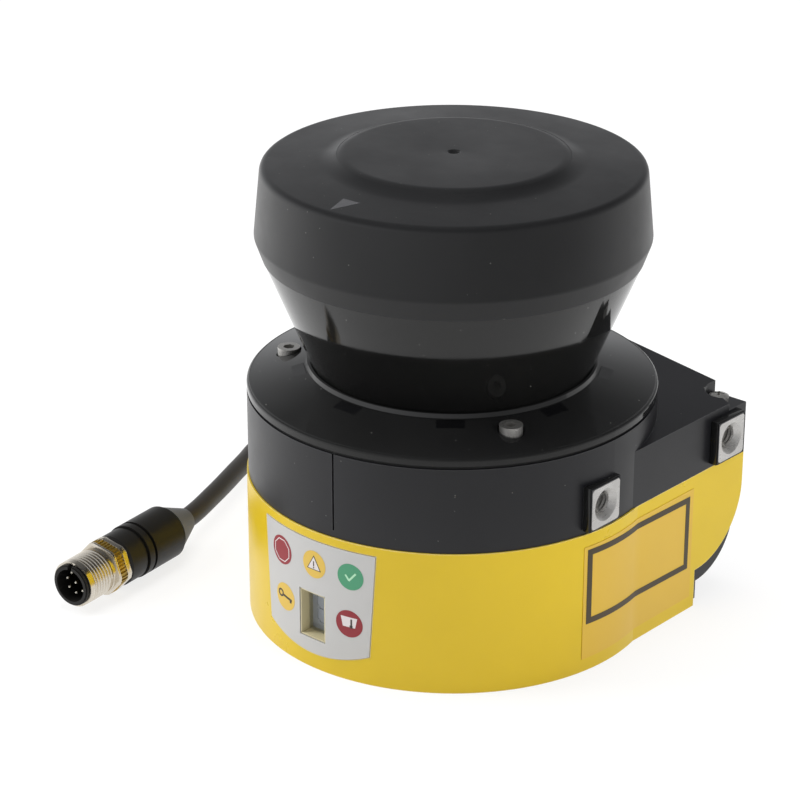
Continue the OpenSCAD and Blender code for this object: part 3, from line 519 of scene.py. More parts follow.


# %% [markdown]
# ## The finishes of the scanner
# The cap is matt black with a fine spark-eroded grain. The window and its flange are one
# polished piece, so they mirror the cap and the screws. The housing sits between the two.
# The yellow cover is smooth and slightly glossy, and its cut edge, like the housing's edges,
# has a pale painted highlight.

# %% Finish table
finishes = {
    "cap_plastic": plastic("cap_matt_black", linear(22, 22, 23), linear(28, 28, 29),
                           (0.34, 0.44), grain=3200.0, depth=0.3, specks=0.4),
    "window_plastic": plastic("window_polished_black", linear(21, 21, 21), linear(25, 25, 24),
                              (0.05, 0.11), grain=500.0, depth=0.02, specks=0.6, dust=0.09),
    # The housing's pale edge colour is a painted highlight.
    "black_housing": plastic("housing_satin_black", linear(23, 23, 26), linear(29, 29, 32),
                             (0.3, 0.4), grain=2600.0, depth=0.25, specks=0.4,
                             edge=linear(80, 80, 82)),
    # The cover's pale edge colour is a painted highlight.
    "yellow_plastic": plastic("cover_signal_yellow", linear(227, 194, 28),
                              linear(219, 186, 24), (0.26, 0.36), grain=2400.0, depth=0.1,
                              edge=linear(250, 244, 205)),
    "panel_film": plastic("panel_grey_film", linear(199, 198, 196), linear(194, 193, 191),
                          (0.38, 0.48), grain=4200.0, depth=0.15),
    "label_film": plastic("label_amber_film", linear(224, 184, 62), linear(219, 179, 58),
                          (0.3, 0.42), grain=900.0, depth=0.08),
    "clear_window": clear("display_window_clear", (0.9, 0.94, 0.98, 1), 0.05),
    "light_guide": plastic("light_guide_milky", linear(226, 226, 220), linear(232, 232, 226),
                           (0.2, 0.3)),
    "led_body": plastic("lamp_milky", linear(228, 228, 214), linear(220, 220, 206), (0.15, 0.25)),
    "display_face": plastic("display_face_grey", linear(206, 208, 216), linear(188, 192, 202),
                            (0.18, 0.28), grain=1200.0, depth=0.1),
    "base_metal": metal("base_plate_sheet", linear(150, 151, 153), linear(138, 139, 141),
                        (0.3, 0.5), stretch=(1, 0.04, 1)),
    "insert_metal": metal("insert_nickel", linear(214, 212, 209), linear(198, 196, 193),
                          (0.24, 0.42), stretch=(1, 0.15, 1), lines=2200.0, depth=0.12,
                          metallic=0.75),
    "screw_steel": metal("screw_zinc", linear(206, 204, 200), linear(186, 184, 180),
                         (0.25, 0.4), metallic=0.85),
    "gasket_rubber": plastic("gasket_black_rubber", linear(20, 20, 20), linear(26, 26, 26),
                             (0.6, 0.75)),
    "circuit_board": plastic("board_green_mask", linear(28, 96, 52), linear(22, 84, 46),
                             (0.28, 0.4), grain=800.0, depth=0.3),
    "black_parts": plastic("part_moulded_black", linear(30, 30, 33), linear(40, 40, 43),
                           (0.4, 0.55)),
    "chassis_metal": metal("chassis_die_cast", linear(136, 138, 141), linear(122, 124, 127),
                           (0.42, 0.6), lines=900.0, depth=0.4),
    "bearing_steel": metal("bearing_polished", linear(200, 200, 203), linear(186, 186, 190),
                           (0.08, 0.18)),
    "motor_copper": metal("winding_copper", linear(190, 110, 62), linear(168, 92, 50),
                          (0.3, 0.45), stretch=(1, 1, 6)),
    "motor_steel": metal("bell_drawn_steel", linear(128, 130, 133), linear(110, 112, 115),
                         (0.28, 0.42), stretch=(1, 1, 0.1)),
    "encoder_metal": metal("encoder_etched", linear(196, 198, 202), linear(184, 186, 190),
                           (0.15, 0.3)),
    "mirror_glass": metal("mirror_front_silvered", linear(236, 238, 241),
                          linear(230, 232, 236), (0.01, 0.03), depth=0.01),
    "lens_glass": clear("lens_ground_clear", (0.93, 0.97, 1, 1), 0.01),
    "flex_film": plastic("flex_amber_film", linear(176, 108, 36), linear(160, 96, 30),
                         (0.22, 0.35)),
    "brass_parts": metal("standoff_brass", linear(206, 176, 100), linear(190, 160, 86),
                         (0.2, 0.35)),
    "cable_sheath": plastic("cable_grey_sheath", linear(42, 40, 38), linear(49, 46, 44),
                            (0.42, 0.55), grain=1500.0, depth=0.2),
    "plug_black": plastic("plug_black_overmould", linear(27, 26, 25), linear(33, 32, 30),
                          (0.42, 0.55), grain=2800.0, depth=0.3, specular=0.3),
    "plug_grey": plastic("plug_grey_tail", linear(84, 85, 87), linear(77, 78, 80),
                         (0.5, 0.62), grain=2000.0, depth=0.25),
    "nut_metal": metal("nut_nickel", linear(224, 218, 208), linear(212, 203, 186),
                       (0.2, 0.32), depth=0.04),
    "nut_brass": metal("nut_knurl_brass", linear(186, 160, 84), linear(150, 126, 62),
                       (0.24, 0.36), depth=0.05, metallic=0.85),
    # The pins' gold is darkened as painted shade, for their place deep in the plug.
    "contact_gold": metal("pin_gold_painted_shade", linear(112, 98, 70), linear(98, 86, 62),
                          (0.12, 0.22)),
}
for entry in frame["record"]["subparts"]:
    piece = nodes[entry["node"]]
    piece.data.materials.clear()
    piece.data.materials.append(finishes[entry["material_slot"]])
cable_data.materials.append(finishes["cable_sheath"])
print("finishes:", len(finishes), "on", len(nodes), "pieces")

# %% [markdown]
# ## Modelling helpers
# Small pieces are made as by hand: add a primitive at its size and place, enter edit mode,
# shape it, leave, and apply what is left. Operators act on whatever is selected, so each
# helper starts by selecting its own piece. A finished piece has its object at the origin and
# its place in its mesh, as the frame's own pieces have.

# %% Helpers for pieces
def only(piece):
    """Selects one piece and makes it the active one."""
    bpy.ops.object.select_all(action="DESELECT")
    piece.select_set(True)
    bpy.context.view_layer.objects.active = piece


def settle(piece):
    """Puts a piece's place, turn and size into its mesh."""
    only(piece)
    bpy.ops.object.transform_apply(location=True, rotation=True, scale=True)
    return piece


def apply_modifier(piece, kind, **settings):
    """Adds a modifier with its settings and applies it."""
    only(piece)
    modifier = piece.modifiers.new(kind.lower(), kind)
    for label, value in settings.items():
        setattr(modifier, label, value)
    bpy.ops.object.modifier_apply(modifier=modifier.name)
    return piece


def join_pieces(pieces, name):
    """Joins several pieces into one and names it."""
    bpy.ops.object.select_all(action="DESELECT")
    for piece in pieces:
        piece.select_set(True)
    bpy.context.view_layer.objects.active = pieces[0]
    if len(pieces) > 1:
        bpy.ops.object.join()
    joined = bpy.context.object
    joined.name = name
    return joined


def outward(piece, merge=0.001 * mm):
    """Merges double points and turns all faces outwards."""
    only(piece)
    bpy.ops.object.mode_set(mode="EDIT")
    bpy.ops.mesh.select_all(action="SELECT")
    bpy.ops.mesh.remove_doubles(threshold=merge)
    bpy.ops.mesh.normals_make_consistent(inside=False)
    bpy.ops.object.mode_set(mode="OBJECT")
    return piece


def hand_over(piece, body, finish, angle=35, replaces=()):
    """Gives a finished piece its body, its finish and its smooth shading."""
    only(piece)
    bpy.ops.object.shade_smooth_by_angle(angle=math.radians(angle))
    piece.data.materials.clear()
    piece.data.materials.append(finishes[finish])
    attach(piece, body)
    if replaces:
        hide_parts(*replaces)
    print(f"{piece.name}: {len(piece.data.polygons)} faces on {body}")
    return piece


# %% Boxes, sheets and tubes
def block(size, place=(0, 0, 0), turn=(0, 0, 0)):
    """A box of the given size, turned and set in its place."""
    bpy.ops.mesh.primitive_cube_add(size=1, location=place, rotation=turn)
    piece = bpy.context.object
    piece.scale = size
    return settle(piece)


def sheet(length, width, place, turn):
    """A flat sheet of the given size, turned and set in its place."""
    bpy.ops.mesh.primitive_plane_add(size=1, location=place, rotation=turn)
    piece = bpy.context.object
    piece.scale = (length, width, 1)
    return settle(piece)


def cut_up(piece, cuts):
    """Cuts a flat sheet's faces into smaller ones, so that it can be bent."""
    bpy.ops.object.mode_set(mode="EDIT")
    bpy.ops.mesh.select_all(action="SELECT")
    bpy.ops.mesh.subdivide(number_cuts=cuts)
    bpy.ops.object.mode_set(mode="OBJECT")
    return piece


def open_middle(piece, line):
    """Takes out a flat sheet's middle, which leaves a line of the given width."""
    bpy.ops.object.mode_set(mode="EDIT")
    bpy.ops.mesh.select_all(action="SELECT")
    bpy.ops.mesh.inset(thickness=line, depth=0)
    bpy.ops.mesh.delete(type="FACE")
    bpy.ops.object.mode_set(mode="OBJECT")
    return piece


def bored(piece, wall):
    """Opens a bar along Z: both ends are inset by the wall and the middles are bridged."""
    bpy.ops.object.mode_set(mode="EDIT")
    bpy.ops.mesh.select_mode(type="FACE")
    mesh = bmesh.from_edit_mesh(piece.data)
    for face in mesh.faces:
        face.select = abs(face.normal.z) > 0.9
    bmesh.update_edit_mesh(piece.data)
    bpy.ops.mesh.inset(thickness=wall, depth=0)
    bpy.ops.mesh.bridge_edge_loops()
    bpy.ops.object.mode_set(mode="OBJECT")
    return outward(piece)


# %% [markdown]
# ## The turned cap
# The cap is round, so it is drawn once, as the outline of one half of its section, and turned
# about the scan axis. A moulded edge is never perfectly sharp, and its small round is what
# catches the light, so a corner may have a reach: how far from it the round begins and ends.

# %% Cap sizes
cap_ring_z = 114.2 * mm
ring_start = 29.4 * mm
ring_end = 45.4 * mm
ring_fall = 0.8 * mm
dimple_z = 115.4 * mm
round_steps = 6


# %% Outline and turning
def crown(x, y):
    """How far the cap's ring has fallen at a place, from the plateau's foot outwards."""
    share = (math.hypot(x, y) - ring_start) / (ring_end - ring_start)
    return ring_fall * min(1.0, max(0.0, share))


def rounded_line(corners):
    """Points of a line whose corners are rounded: each corner is (radius, height, reach)."""
    line = []
    for index, (r, z, reach) in enumerate(corners):
        place = Vector((r, z))
        if not reach:
            line.append(place)
            continue
        before = Vector(corners[index - 1][:2]) - place
        after = Vector(corners[index + 1][:2]) - place
        start = place + before.normalized() * reach
        end = place + after.normalized() * reach
        for step in range(round_steps + 1):
            t = step / round_steps
            line.append(start * (1 - t) ** 2 + place * 2 * t * (1 - t) + end * t * t)
    return line


def turned(name, line, steps):
    """A solid turned about Z from a closed outline of radii and heights in millimetres."""
    bpy.ops.mesh.primitive_circle_add(vertices=len(line), radius=1 * mm, fill_type="NOTHING")
    piece = bpy.context.object
    piece.name = name
    for vertex, place in zip(piece.data.vertices, line):
        vertex.co = (place.x * mm, 0, place.y * mm)
    apply_modifier(piece, "SCREW", axis="Z", angle=2 * math.pi, steps=steps,
                   render_steps=steps, screw_offset=0, use_merge_vertices=True,
                   merge_threshold=0.001 * mm)
    return outward(piece)


# %% Cap
cap_outline = rounded_line([
    # outside: the skirt's foot, its widest line, and the shoulder where the ring ends
    (45.3, 91.6, 0), (47.05, 96.5, 0.5), (45.36, (cap_ring_z - ring_fall) / mm, 1.6),
    # top: the plateau's foot and edge, and the small moulding point in its middle
    (ring_start / mm, cap_ring_z / mm, 2.4), (26.8, 116.0, 1.5), (1.5, 116.0, 0.3),
    (1.1, dimple_z / mm, 0.2), (0, dimple_z / mm, 0),
    # inside: the ceiling, the wall, and the rebate that sits over the window's head
    (0, 111.6, 0), (40.0, 111.6, 0), (43.0, 108.6, 0), (43.4, 96.5, 0),
    (42.15, 94.25, 0), (44.5, 94.25, 0), (44.5, 91.6, 0)])
hand_over(turned("optics_cap_moulded", cap_outline, 180), "scanner", "cap_plastic",
          angle=30, replaces=("optics_cap",))

# %% [markdown]
# ## The flange's edge
# The polished flange under the window has a fine rounded edge. It is a thin ring, laid along
# the rim at the height where the frame's own flange ends.

# %% Rounded edge of the flange
flange_radius = 48.98 * mm
edge_circle = 48.84 * mm
edge_round = 0.15 * mm


def flange_edge():
    """The fine rounded edge that runs round the flange and catches the light."""
    rim = [vertex.co for vertex in nodes["optics_cover"].data.vertices
           if abs(math.hypot(vertex.co.x, vertex.co.y) - flange_radius) < 0.06 * mm]
    top = max(place.z for place in rim)
    bpy.ops.mesh.primitive_torus_add(major_radius=edge_circle, minor_radius=edge_round,
                                     major_segments=160, minor_segments=12,
                                     location=(0, 0, top - 0.02 * mm))
    piece = settle(bpy.context.object)
    piece.name = "flange_rounded_edge"
    return hand_over(piece, "scanner", "window_plastic")


flange_edge()

# %% [markdown]
# ## The inserts and their sleeves
# The square inserts are die-cast with well rounded corners. A copy of the frame's piece has
# its doubled points merged and its flat faces joined. The long edges that run outwards are
# then picked out by their direction and bevelled more than the rest. Round each insert stands
# a thin sleeve of glossy black plastic that ends a little below the insert's face.

# %% Places of the four inserts
insert_size = 10.3 * mm
insert_low, insert_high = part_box("mounting_inserts")
insert_places = [(side, y, (insert_low.z + insert_high.z) / 2)
                 for side in (-1, 1)
                 for y in (insert_low.y + insert_size / 2, insert_high.y - insert_size / 2)]


# %% Rounded inserts
def working_copy(node, name):
    """A copy of a frame piece with merged points and joined flat faces."""
    piece = bpy.data.objects.new(name, nodes[node].data.copy())
    scene.collection.objects.link(piece)
    outward(piece, merge=0.002 * mm)
    bpy.ops.object.mode_set(mode="EDIT")
    bpy.ops.mesh.select_all(action="SELECT")
    bpy.ops.mesh.dissolve_limited(angle_limit=math.radians(0.5))
    bpy.ops.object.mode_set(mode="OBJECT")
    return piece


def rounded_inserts():
    """The four inserts with rounded corners and a light break on their other edges."""
    piece = working_copy("mounting_inserts", "mounting_inserts_rounded")
    bpy.ops.object.mode_set(mode="EDIT")
    bpy.ops.mesh.select_mode(type="EDGE")
    mesh = bmesh.from_edit_mesh(piece.data)
    for edge in mesh.edges:
        run = edge.verts[1].co - edge.verts[0].co
        square = edge.is_manifold and edge.calc_face_angle() > math.radians(80)
        edge.select = square and abs(run.x) > 0.98 * run.length and run.length > 5 * mm
    bmesh.update_edit_mesh(piece.data)
    bpy.ops.mesh.bevel(offset=0.9 * mm, segments=4)
    bpy.ops.object.mode_set(mode="OBJECT")
    apply_modifier(piece, "BEVEL", width=0.12 * mm, segments=2, limit_method="ANGLE",
                   angle_limit=math.radians(40), use_clamp_overlap=True)
    hand_over(piece, "scanner", "insert_metal", angle=30,
              replaces=("mounting_inserts",))
    return apply_modifier(piece, "WEIGHTED_NORMAL", keep_sharp=True)


rounded_inserts()

# %% Black sleeves round the inserts
sleeve_outer = insert_size + 0.9 * mm
sleeve_inner = insert_size + 0.1 * mm
sleeve_length = 1.9 * mm
sleeve_step = 0.35 * mm


def insert_sleeves():
    """Four sleeves that reach from the flat sides to just below the inserts' faces."""
    sleeves = []
    for side, y, z in insert_places:
        sleeve = bored(block((sleeve_outer, sleeve_outer, sleeve_length)),
                       (sleeve_outer - sleeve_inner) / 2)
        apply_modifier(sleeve, "BEVEL", width=0.1 * mm, segments=2)
        sleeve.rotation_euler = (0, math.pi / 2, 0)
        sleeve.location = (side * (insert_high.x - sleeve_step - sleeve_length / 2), y, z)
        sleeves.append(settle(sleeve))
    piece = join_pieces(sleeves, "insert_sleeves")
    return hand_over(piece, "scanner", "window_plastic")


insert_sleeves()

# %% [markdown]
# ## Panes in the flange
# Seven small dark panes lie in the flange round the foot of the window. They follow its slope,
# a little below the surface, and the same pane is set seven times round the circle.

# %% Contamination panes
finishes["pane_dark"] = plastic("pane_dark_glass", linear(9, 9, 11), linear(12, 12, 14),
                                (0.1, 0.18), grain=900.0, depth=0.05)
pane_size = (6.5 * mm, 3.0 * mm, 0.3 * mm)
pane_circle = 37.1 * mm
pane_height = 63.13 * mm
pane_sink = 0.22 * mm
flange_tilt = math.atan(3.7 / 14.2)


def flange_panes():
    """Seven tilted panes, 40 degrees apart."""
    panes = []
    for step in range(-3, 4):
        turn = math.radians(40 * step)
        place = (pane_circle * math.sin(turn), -pane_circle * math.cos(turn),
                 pane_height - pane_sink)
        panes.append(block(pane_size, place, (flange_tilt, 0, turn)))
    piece = join_pieces(panes, "contamination_panes")
    return hand_over(piece, "scanner", "pane_dark")


flange_panes()

# %% [markdown]
# ## Printed signs on the front panel
# Each sign is a small round field of colour with a simple shape on it. They are printed, so
# they have almost no thickness, but a real thin shape keeps its edge sharp from any distance,
# where a texture would blur. Each is cut flat from a circle or a plane, and then laid on
# the round panel by moving every point straight back to the panel's radius.

# %% Sign colours
sign_colours = {
    "sign_red": ((150, 44, 52), (142, 40, 48)),
    "sign_yellow": ((226, 190, 84), (220, 182, 76)),
    "sign_green": ((80, 158, 118), (74, 150, 112)),
    "sign_mint": ((186, 232, 198), (178, 226, 190)),
    "sign_white": ((230, 222, 222), (224, 216, 216)),
    "sign_dark": ((58, 48, 44), (66, 54, 50)),
}
for sign, (colour, shade) in sign_colours.items():
    finishes[sign] = plastic(sign, linear(*colour), linear(*shade), (0.38, 0.46))
print("sign colours:", len(sign_colours))

# %% Cutting and laying flat shapes
panel_radius = -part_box("indicator_panel")[0].y
layer = 0.035 * mm


def flat_disc(x, z, radius, sides=40, turn=0.0, fill="TRIFAN"):
    """A flat round or polygonal sheet that faces the front."""
    bpy.ops.mesh.primitive_circle_add(vertices=sides, radius=radius, fill_type=fill,
                                      location=(x, 0, z), rotation=(math.pi / 2, turn, 0))
    return settle(bpy.context.object)


def flat_bar(x, z, length, width, turn=0.0):
    """A flat bar whose length runs along X before its turn."""
    return sheet(length, width, (x, 0, z), (math.pi / 2, turn, 0))


def flat_ring(x, z, radius, width, sides=40, turn=0.0):
    """A flat ring: a sheet with its inset middle taken out."""
    return open_middle(flat_disc(x, z, radius, sides, turn, fill="NGON"), width)


def flat_pane(x, z, width, height, spread_top):
    """A flat sheet whose top edge is wider than its bottom edge."""
    piece = flat_bar(x, z, width, height)
    bpy.ops.object.mode_set(mode="EDIT")
    mesh = bmesh.from_edit_mesh(piece.data)
    for vertex in mesh.verts:
        vertex.select = vertex.co.z > z
    mesh.select_flush(True)
    bmesh.update_edit_mesh(piece.data)
    bpy.ops.transform.resize(value=(spread_top, 1, 1), center_override=(x, 0, z))
    bpy.ops.object.mode_set(mode="OBJECT")
    return piece


def lay_on_panel(pieces, name, slot, level):
    """Joins flat shapes, bends them to the panel and gives them a hair's thickness."""
    piece = cut_up(join_pieces(pieces, name), 2)
    radius = panel_radius + level * layer
    for vertex in piece.data.vertices:
        vertex.co.y = -math.sqrt(radius * radius - vertex.co.x * vertex.co.x)
    apply_modifier(piece, "SOLIDIFY", thickness=layer * 0.9, offset=0)
    return hand_over(piece, "scanner", slot)


# %% Places of the signs
sign_radius = 3.5 * mm
upper_z = 27.4 * mm
lower_z = 15.1 * mm
stop_x = -10.4 * mm
caution_x = 0.9 * mm
caution_high = upper_z + 0.3 * mm
caution_z = caution_high - 0.15 * mm
ready_x = 11.2 * mm
tick_width = 0.46 * mm
key_x = -9.35 * mm
key_z = 15.4 * mm
window_x = 10.8 * mm

# %% The stop, caution and ready signs
lay_on_panel([flat_disc(stop_x, upper_z, sign_radius * 1.04)],
             "stop_sign_field", "sign_red", 1)
lay_on_panel([flat_ring(stop_x, upper_z, 3.05 * mm, 0.22 * mm, 8, math.pi / 8)],
             "stop_sign_outline", "sign_white", 2)
lay_on_panel([flat_disc(caution_x, caution_high, sign_radius)],
             "caution_sign_field", "sign_yellow", 1)
lay_on_panel([flat_disc(caution_x, caution_z, 2.5 * mm, 3)],
             "caution_sign_edge", "sign_dark", 2)
lay_on_panel([flat_disc(caution_x, caution_z, 2.1 * mm, 3)],
             "caution_sign_triangle", "sign_white", 3)
lay_on_panel([flat_bar(caution_x, caution_z + 0.35 * mm, 0.3 * mm, 1.3 * mm),
              flat_disc(caution_x, caution_z - 0.65 * mm, 0.2 * mm, 12)],
             "caution_sign_stroke", "sign_dark", 4)
lay_on_panel([flat_disc(ready_x, upper_z, sign_radius * 0.96)],
             "ready_sign_field", "sign_green", 1)
lay_on_panel([flat_bar(ready_x + 0.55 * mm, upper_z + 0.05 * mm, 2.8 * mm, tick_width,
                       math.radians(-50)),
              flat_bar(ready_x - 0.75 * mm, upper_z - 0.3 * mm, 1.7 * mm, tick_width,
                       math.radians(55))],
             "ready_sign_tick", "sign_mint", 2)

# %% The key and window signs
lay_on_panel([flat_disc(key_x, key_z, sign_radius)], "lock_sign_field", "sign_yellow", 1)
lay_on_panel([flat_ring(key_x - 1.7 * mm, key_z + 0.5 * mm, 1.05 * mm, 0.45 * mm, 24),
              flat_bar(key_x + 0.8 * mm, key_z, 3.3 * mm, 0.55 * mm, math.radians(9)),
              flat_bar(key_x + 2.0 * mm, key_z - 0.6 * mm, 0.6 * mm, 0.8 * mm)],
             "lock_sign_key", "sign_dark", 2)
lay_on_panel([flat_disc(window_x, lower_z, sign_radius)], "window_sign_field", "sign_red", 1)
lay_on_panel([flat_pane(window_x, lower_z + 0.45 * mm, 3.2 * mm, 2.6 * mm, 1.35)],
             "window_sign_pane", "sign_white", 2)
lay_on_panel([flat_bar(window_x + 0.65 * mm, lower_z + 0.15 * mm, 0.42 * mm, 2.3 * mm),
              flat_bar(window_x + 0.6 * mm, lower_z - 0.7 * mm, 0.75 * mm, 0.7 * mm)],
             "window_sign_wiper", "sign_dark", 3)

# %% [markdown]
# ## The display's recess
# The tunnel in front of the display is lined with a pale film, which spreads light on the
# display at its end.

# %% Recess lining
finishes["recess_pale"] = plastic("recess_pale_film", linear(222, 212, 176),
                                  linear(212, 202, 164), (0.4, 0.5))
lining = 0.25 * mm


def recess_lining():
    """Four thin pale walls just inside the tunnel."""
    low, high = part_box("display_window")
    front = -panel_radius + 0.35 * mm
    back = high.y + 0.6 * mm
    halfway = (front + back) / 2
    middle_z = (low.z + high.z) / 2
    upright = (lining, back - front, high.z - low.z)
    level = (high.x - low.x, back - front, lining)
    walls = [block(upright, (low.x + lining, halfway, middle_z)),
             block(upright, (high.x - lining, halfway, middle_z)),
             block(level, (0, halfway, low.z + lining)),
             block(level, (0, halfway, high.z - lining))]
    piece = join_pieces(walls, "display_recess_lining")
    return hand_over(piece, "scanner", "recess_pale")


recess_lining()

# %% [markdown]
# ## The side label
# The label is a thin film, a little longer to the front than the frame's solid, and its print
# is reduced to a plain dark line. The line is a sheet with its middle inset and taken out.
# The cover's side is flat behind and round in front, so each point is moved out to whichever
# of the two surfaces stands further out.

# %% Label sizes
label_low, label_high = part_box("side_label")
cover_radius = 49.9 * mm
side_plane = 48.7 * mm
film = 0.15 * mm
film_forward = 1.4 * mm
print_forward = 0.4 * mm
print_margin = 1.5 * mm
print_foot = 11.7 * mm
print_head = 31.2 * mm
print_line = 1.55 * mm
print_slant = 0.8 * mm


# %% Label film and print
def side_surface(y, lift):
    """Distance of the label's face from the middle plane at a depth y."""
    bulge = math.sqrt(max(0.0, (cover_radius + film) ** 2 - y * y))
    return max(side_plane + film, bulge) + lift


def wrap_on_side(piece, lift, thickness):
    """Lays a flat sheet on the side surface and gives it a thickness."""
    cut_up(piece, 24)
    for vertex in piece.data.vertices:
        vertex.co.x = side_surface(vertex.co.y, lift)
    return apply_modifier(piece, "SOLIDIFY", thickness=thickness, offset=0)


def side_sheet(name, y0, y1, z0, z1):
    """A flat sheet that faces the side."""
    piece = sheet(z1 - z0, y1 - y0, (0, (y0 + y1) / 2, (z0 + z1) / 2), (0, math.pi / 2, 0))
    piece.name = name
    return piece


def label_film():
    """The label itself, in place of the frame's solid."""
    piece = side_sheet("side_label_film", label_low.y - film_forward, label_high.y,
                       label_low.z, label_high.z)
    wrap_on_side(piece, lift=-0.06 * mm, thickness=0.1 * mm)
    return hand_over(piece, "scanner", "label_film", replaces=("side_label",))


def label_print():
    """The printed line, which rises a little towards the front."""
    front = label_low.y - print_forward
    back = label_high.y - print_margin
    piece = side_sheet("label_print_frame", front, back, print_foot, print_head)
    open_middle(piece, print_line)
    for vertex in piece.data.vertices:
        vertex.co.z += print_slant * (back - vertex.co.y) / (back - front)
    wrap_on_side(piece, lift=layer, thickness=layer)
    return hand_over(piece, "scanner", "label_dark_line")


finishes["label_dark_line"] = plastic("label_dark_line", linear(64, 54, 34), linear(72, 60, 40),
                                      (0.36, 0.46))
label_film()
label_print()

# %% [markdown]
# ## Marks on the cap
# A small pale wedge points forward on the cap's ring and follows its fall, and the moulding
# point in the middle of the plateau gets a dark disc on its floor: painted shade in the hollow.

# %% Cap marks
finishes["cap_mark"] = plastic("cap_mark_grey", linear(76, 76, 78), linear(70, 70, 72),
                               (0.4, 0.5))
wedge_corners = ((1.0, -43.6), (3.75, -36.5), (-1.1, -36.8))


def cap_mark():
    """A thin pale wedge that lies on the cap's ring, pointing to the front."""
    bpy.ops.mesh.primitive_circle_add(vertices=3, radius=1 * mm, fill_type="NGON")
    piece = bpy.context.object
    for vertex, (x, y) in zip(piece.data.vertices, wedge_corners):
        vertex.co = (x * mm, y * mm, cap_ring_z)
    cut_up(piece, 6)
    for vertex in piece.data.vertices:
        vertex.co.z -= crown(vertex.co.x, vertex.co.y)
    apply_modifier(piece, "SOLIDIFY", thickness=0.06 * mm, offset=0)
    piece.name = "cap_front_mark"
    return hand_over(piece, "scanner", "cap_mark")


def cap_dimple_shade():
    """A dark disc on the floor of the moulding point in the middle of the cap: painted shade."""
    bpy.ops.mesh.primitive_circle_add(vertices=40, radius=1.15 * mm, fill_type="NGON",
                                      location=(0, 0, dimple_z + 0.03 * mm))
    piece = settle(bpy.context.object)
    apply_modifier(piece, "SOLIDIFY", thickness=0.05 * mm, offset=0)
    piece.name = "cap_moulding_point_shade"
    return hand_over(piece, "scanner", "gasket_rubber")


cap_mark()
cap_dimple_shade()

# %% [markdown]
# ## Threads
# A thread is a profile that turns and climbs. The Screw modifier does just that: the profile
# is one groove and one crest of the thread, and each turn climbs by one pitch. The same
# helper makes the threads in the mounting inserts and the outer thread of the plug's nut.

# %% Thread helper
def thread(name, crest, root, pitch, turns, start):
    """A screw surface round Z with its first groove at height start."""
    bpy.ops.mesh.primitive_plane_add(size=1, location=(0, 0, 0))
    piece = bpy.context.object
    piece.name = name
    profile = [(root, 0.0), (root, 0.12), (crest, 0.46), (crest, 0.58), (root, 0.92), (root, 1.0)]
    corners = [Vector((r, 0, start + share * pitch)) for r, share in profile]
    bpy.ops.object.mode_set(mode="EDIT")
    bpy.ops.mesh.select_mode(type="VERT")
    bpy.ops.mesh.select_all(action="SELECT")
    bpy.ops.mesh.merge(type="CENTER")
    bpy.ops.transform.translate(value=corners[0])
    for before, after in zip(corners, corners[1:]):
        bpy.ops.mesh.extrude_region_move(TRANSFORM_OT_translate={"value": after - before})
    bpy.ops.object.mode_set(mode="OBJECT")
    apply_modifier(piece, "SCREW", axis="Z", angle=2 * math.pi, screw_offset=pitch,
                   iterations=turns, steps=48, render_steps=48, use_merge_vertices=True,
                   use_smooth_shade=True)
    return piece


# %% Threads in the mounting inserts
insert_depth = 6.5 * mm


def insert_threads():
    """Four threaded sleeves that line the inserts' holes."""
    sleeves = []
    for side, y, z in insert_places:
        sleeve = thread("insert_thread", crest=2.28 * mm, root=2.53 * mm, pitch=1.0 * mm,
                        turns=5, start=0)
        sleeve.rotation_euler = (0, side * math.pi / 2, 0)
        sleeve.location = (side * (insert_high.x - insert_depth), y, z)
        sleeves.append(settle(sleeve))
    piece = join_pieces(sleeves, "insert_threads")
    apply_modifier(piece, "SOLIDIFY", thickness=0.02 * mm, offset=0)
    return hand_over(piece, "scanner", "insert_metal", angle=60)


insert_threads()

# %% [markdown]
# ## The coupling nut
# The plug's nut is turned from brass and nickel plated: a six-sided grip with a knurled band,
# then a sleeve with a fine outer thread. It is modelled round Z and then laid along the plug's
# axis. A grip band is a hexagon cut by a round bar, which turns its corners down, and then
# bored. The knurl is one small rib, copied round the hexagon's outline, and it is a separate
# piece in a brass colour.

# %% Nut sizes
nut_start = 29.5 * mm
nut_gap = 0.1 * mm
nut_turn = math.radians(-12.5)
nut_bore = 5.06 * mm
grip_length = 4.8 * mm
flat_radius = 6.4 * mm
corner_radius = 6.95 * mm
rear_band = 1.7 * mm
knurl_length = 2.3 * mm
knurl_sink = 0.38 * mm
rib_count = 44
thread_length = 9.8 * mm
thread_crest = 5.98 * mm
thread_root = 5.4 * mm
sleeve_bore = 5.38 * mm


# %% Nut grip and knurl
def round_bar(radius, start, length, sides=96, turn=0.0):
    """A solid bar round Z from start."""
    bpy.ops.mesh.primitive_cylinder_add(vertices=sides, radius=radius, depth=length,
                                        location=(0, 0, start + length / 2),
                                        rotation=(0, 0, turn))
    return settle(bpy.context.object)


def combine(piece, tool, operation):
    """Cuts or trims a piece with another one, which is used up."""
    apply_modifier(piece, "BOOLEAN", object=tool, operation=operation, solver="EXACT")
    bpy.data.objects.remove(tool, do_unlink=True)
    return piece


def grip_band(start, length, shrink=0.0):
    """A bored hexagon round Z with its corners turned down."""
    flats = flat_radius - shrink
    band = round_bar(flats / math.cos(math.pi / 6), start, length, 6, nut_turn + math.pi / 6)
    combine(band, round_bar(corner_radius - shrink, start - mm, length + 2 * mm), "INTERSECT")
    combine(band, round_bar(nut_bore, start - mm, length + 2 * mm), "DIFFERENCE")
    if not shrink:
        apply_modifier(band, "BEVEL", width=0.22 * mm, segments=2, limit_method="ANGLE",
                       angle_limit=math.radians(60))
    return outward(band)


def grip_radius(angle):
    """Distance of the hexagon's outline from the axis."""
    sixth = math.pi / 3
    off = (angle - nut_turn - sixth / 2) % sixth
    off = min(off, sixth - off)
    return min(flat_radius / math.cos(off), corner_radius)


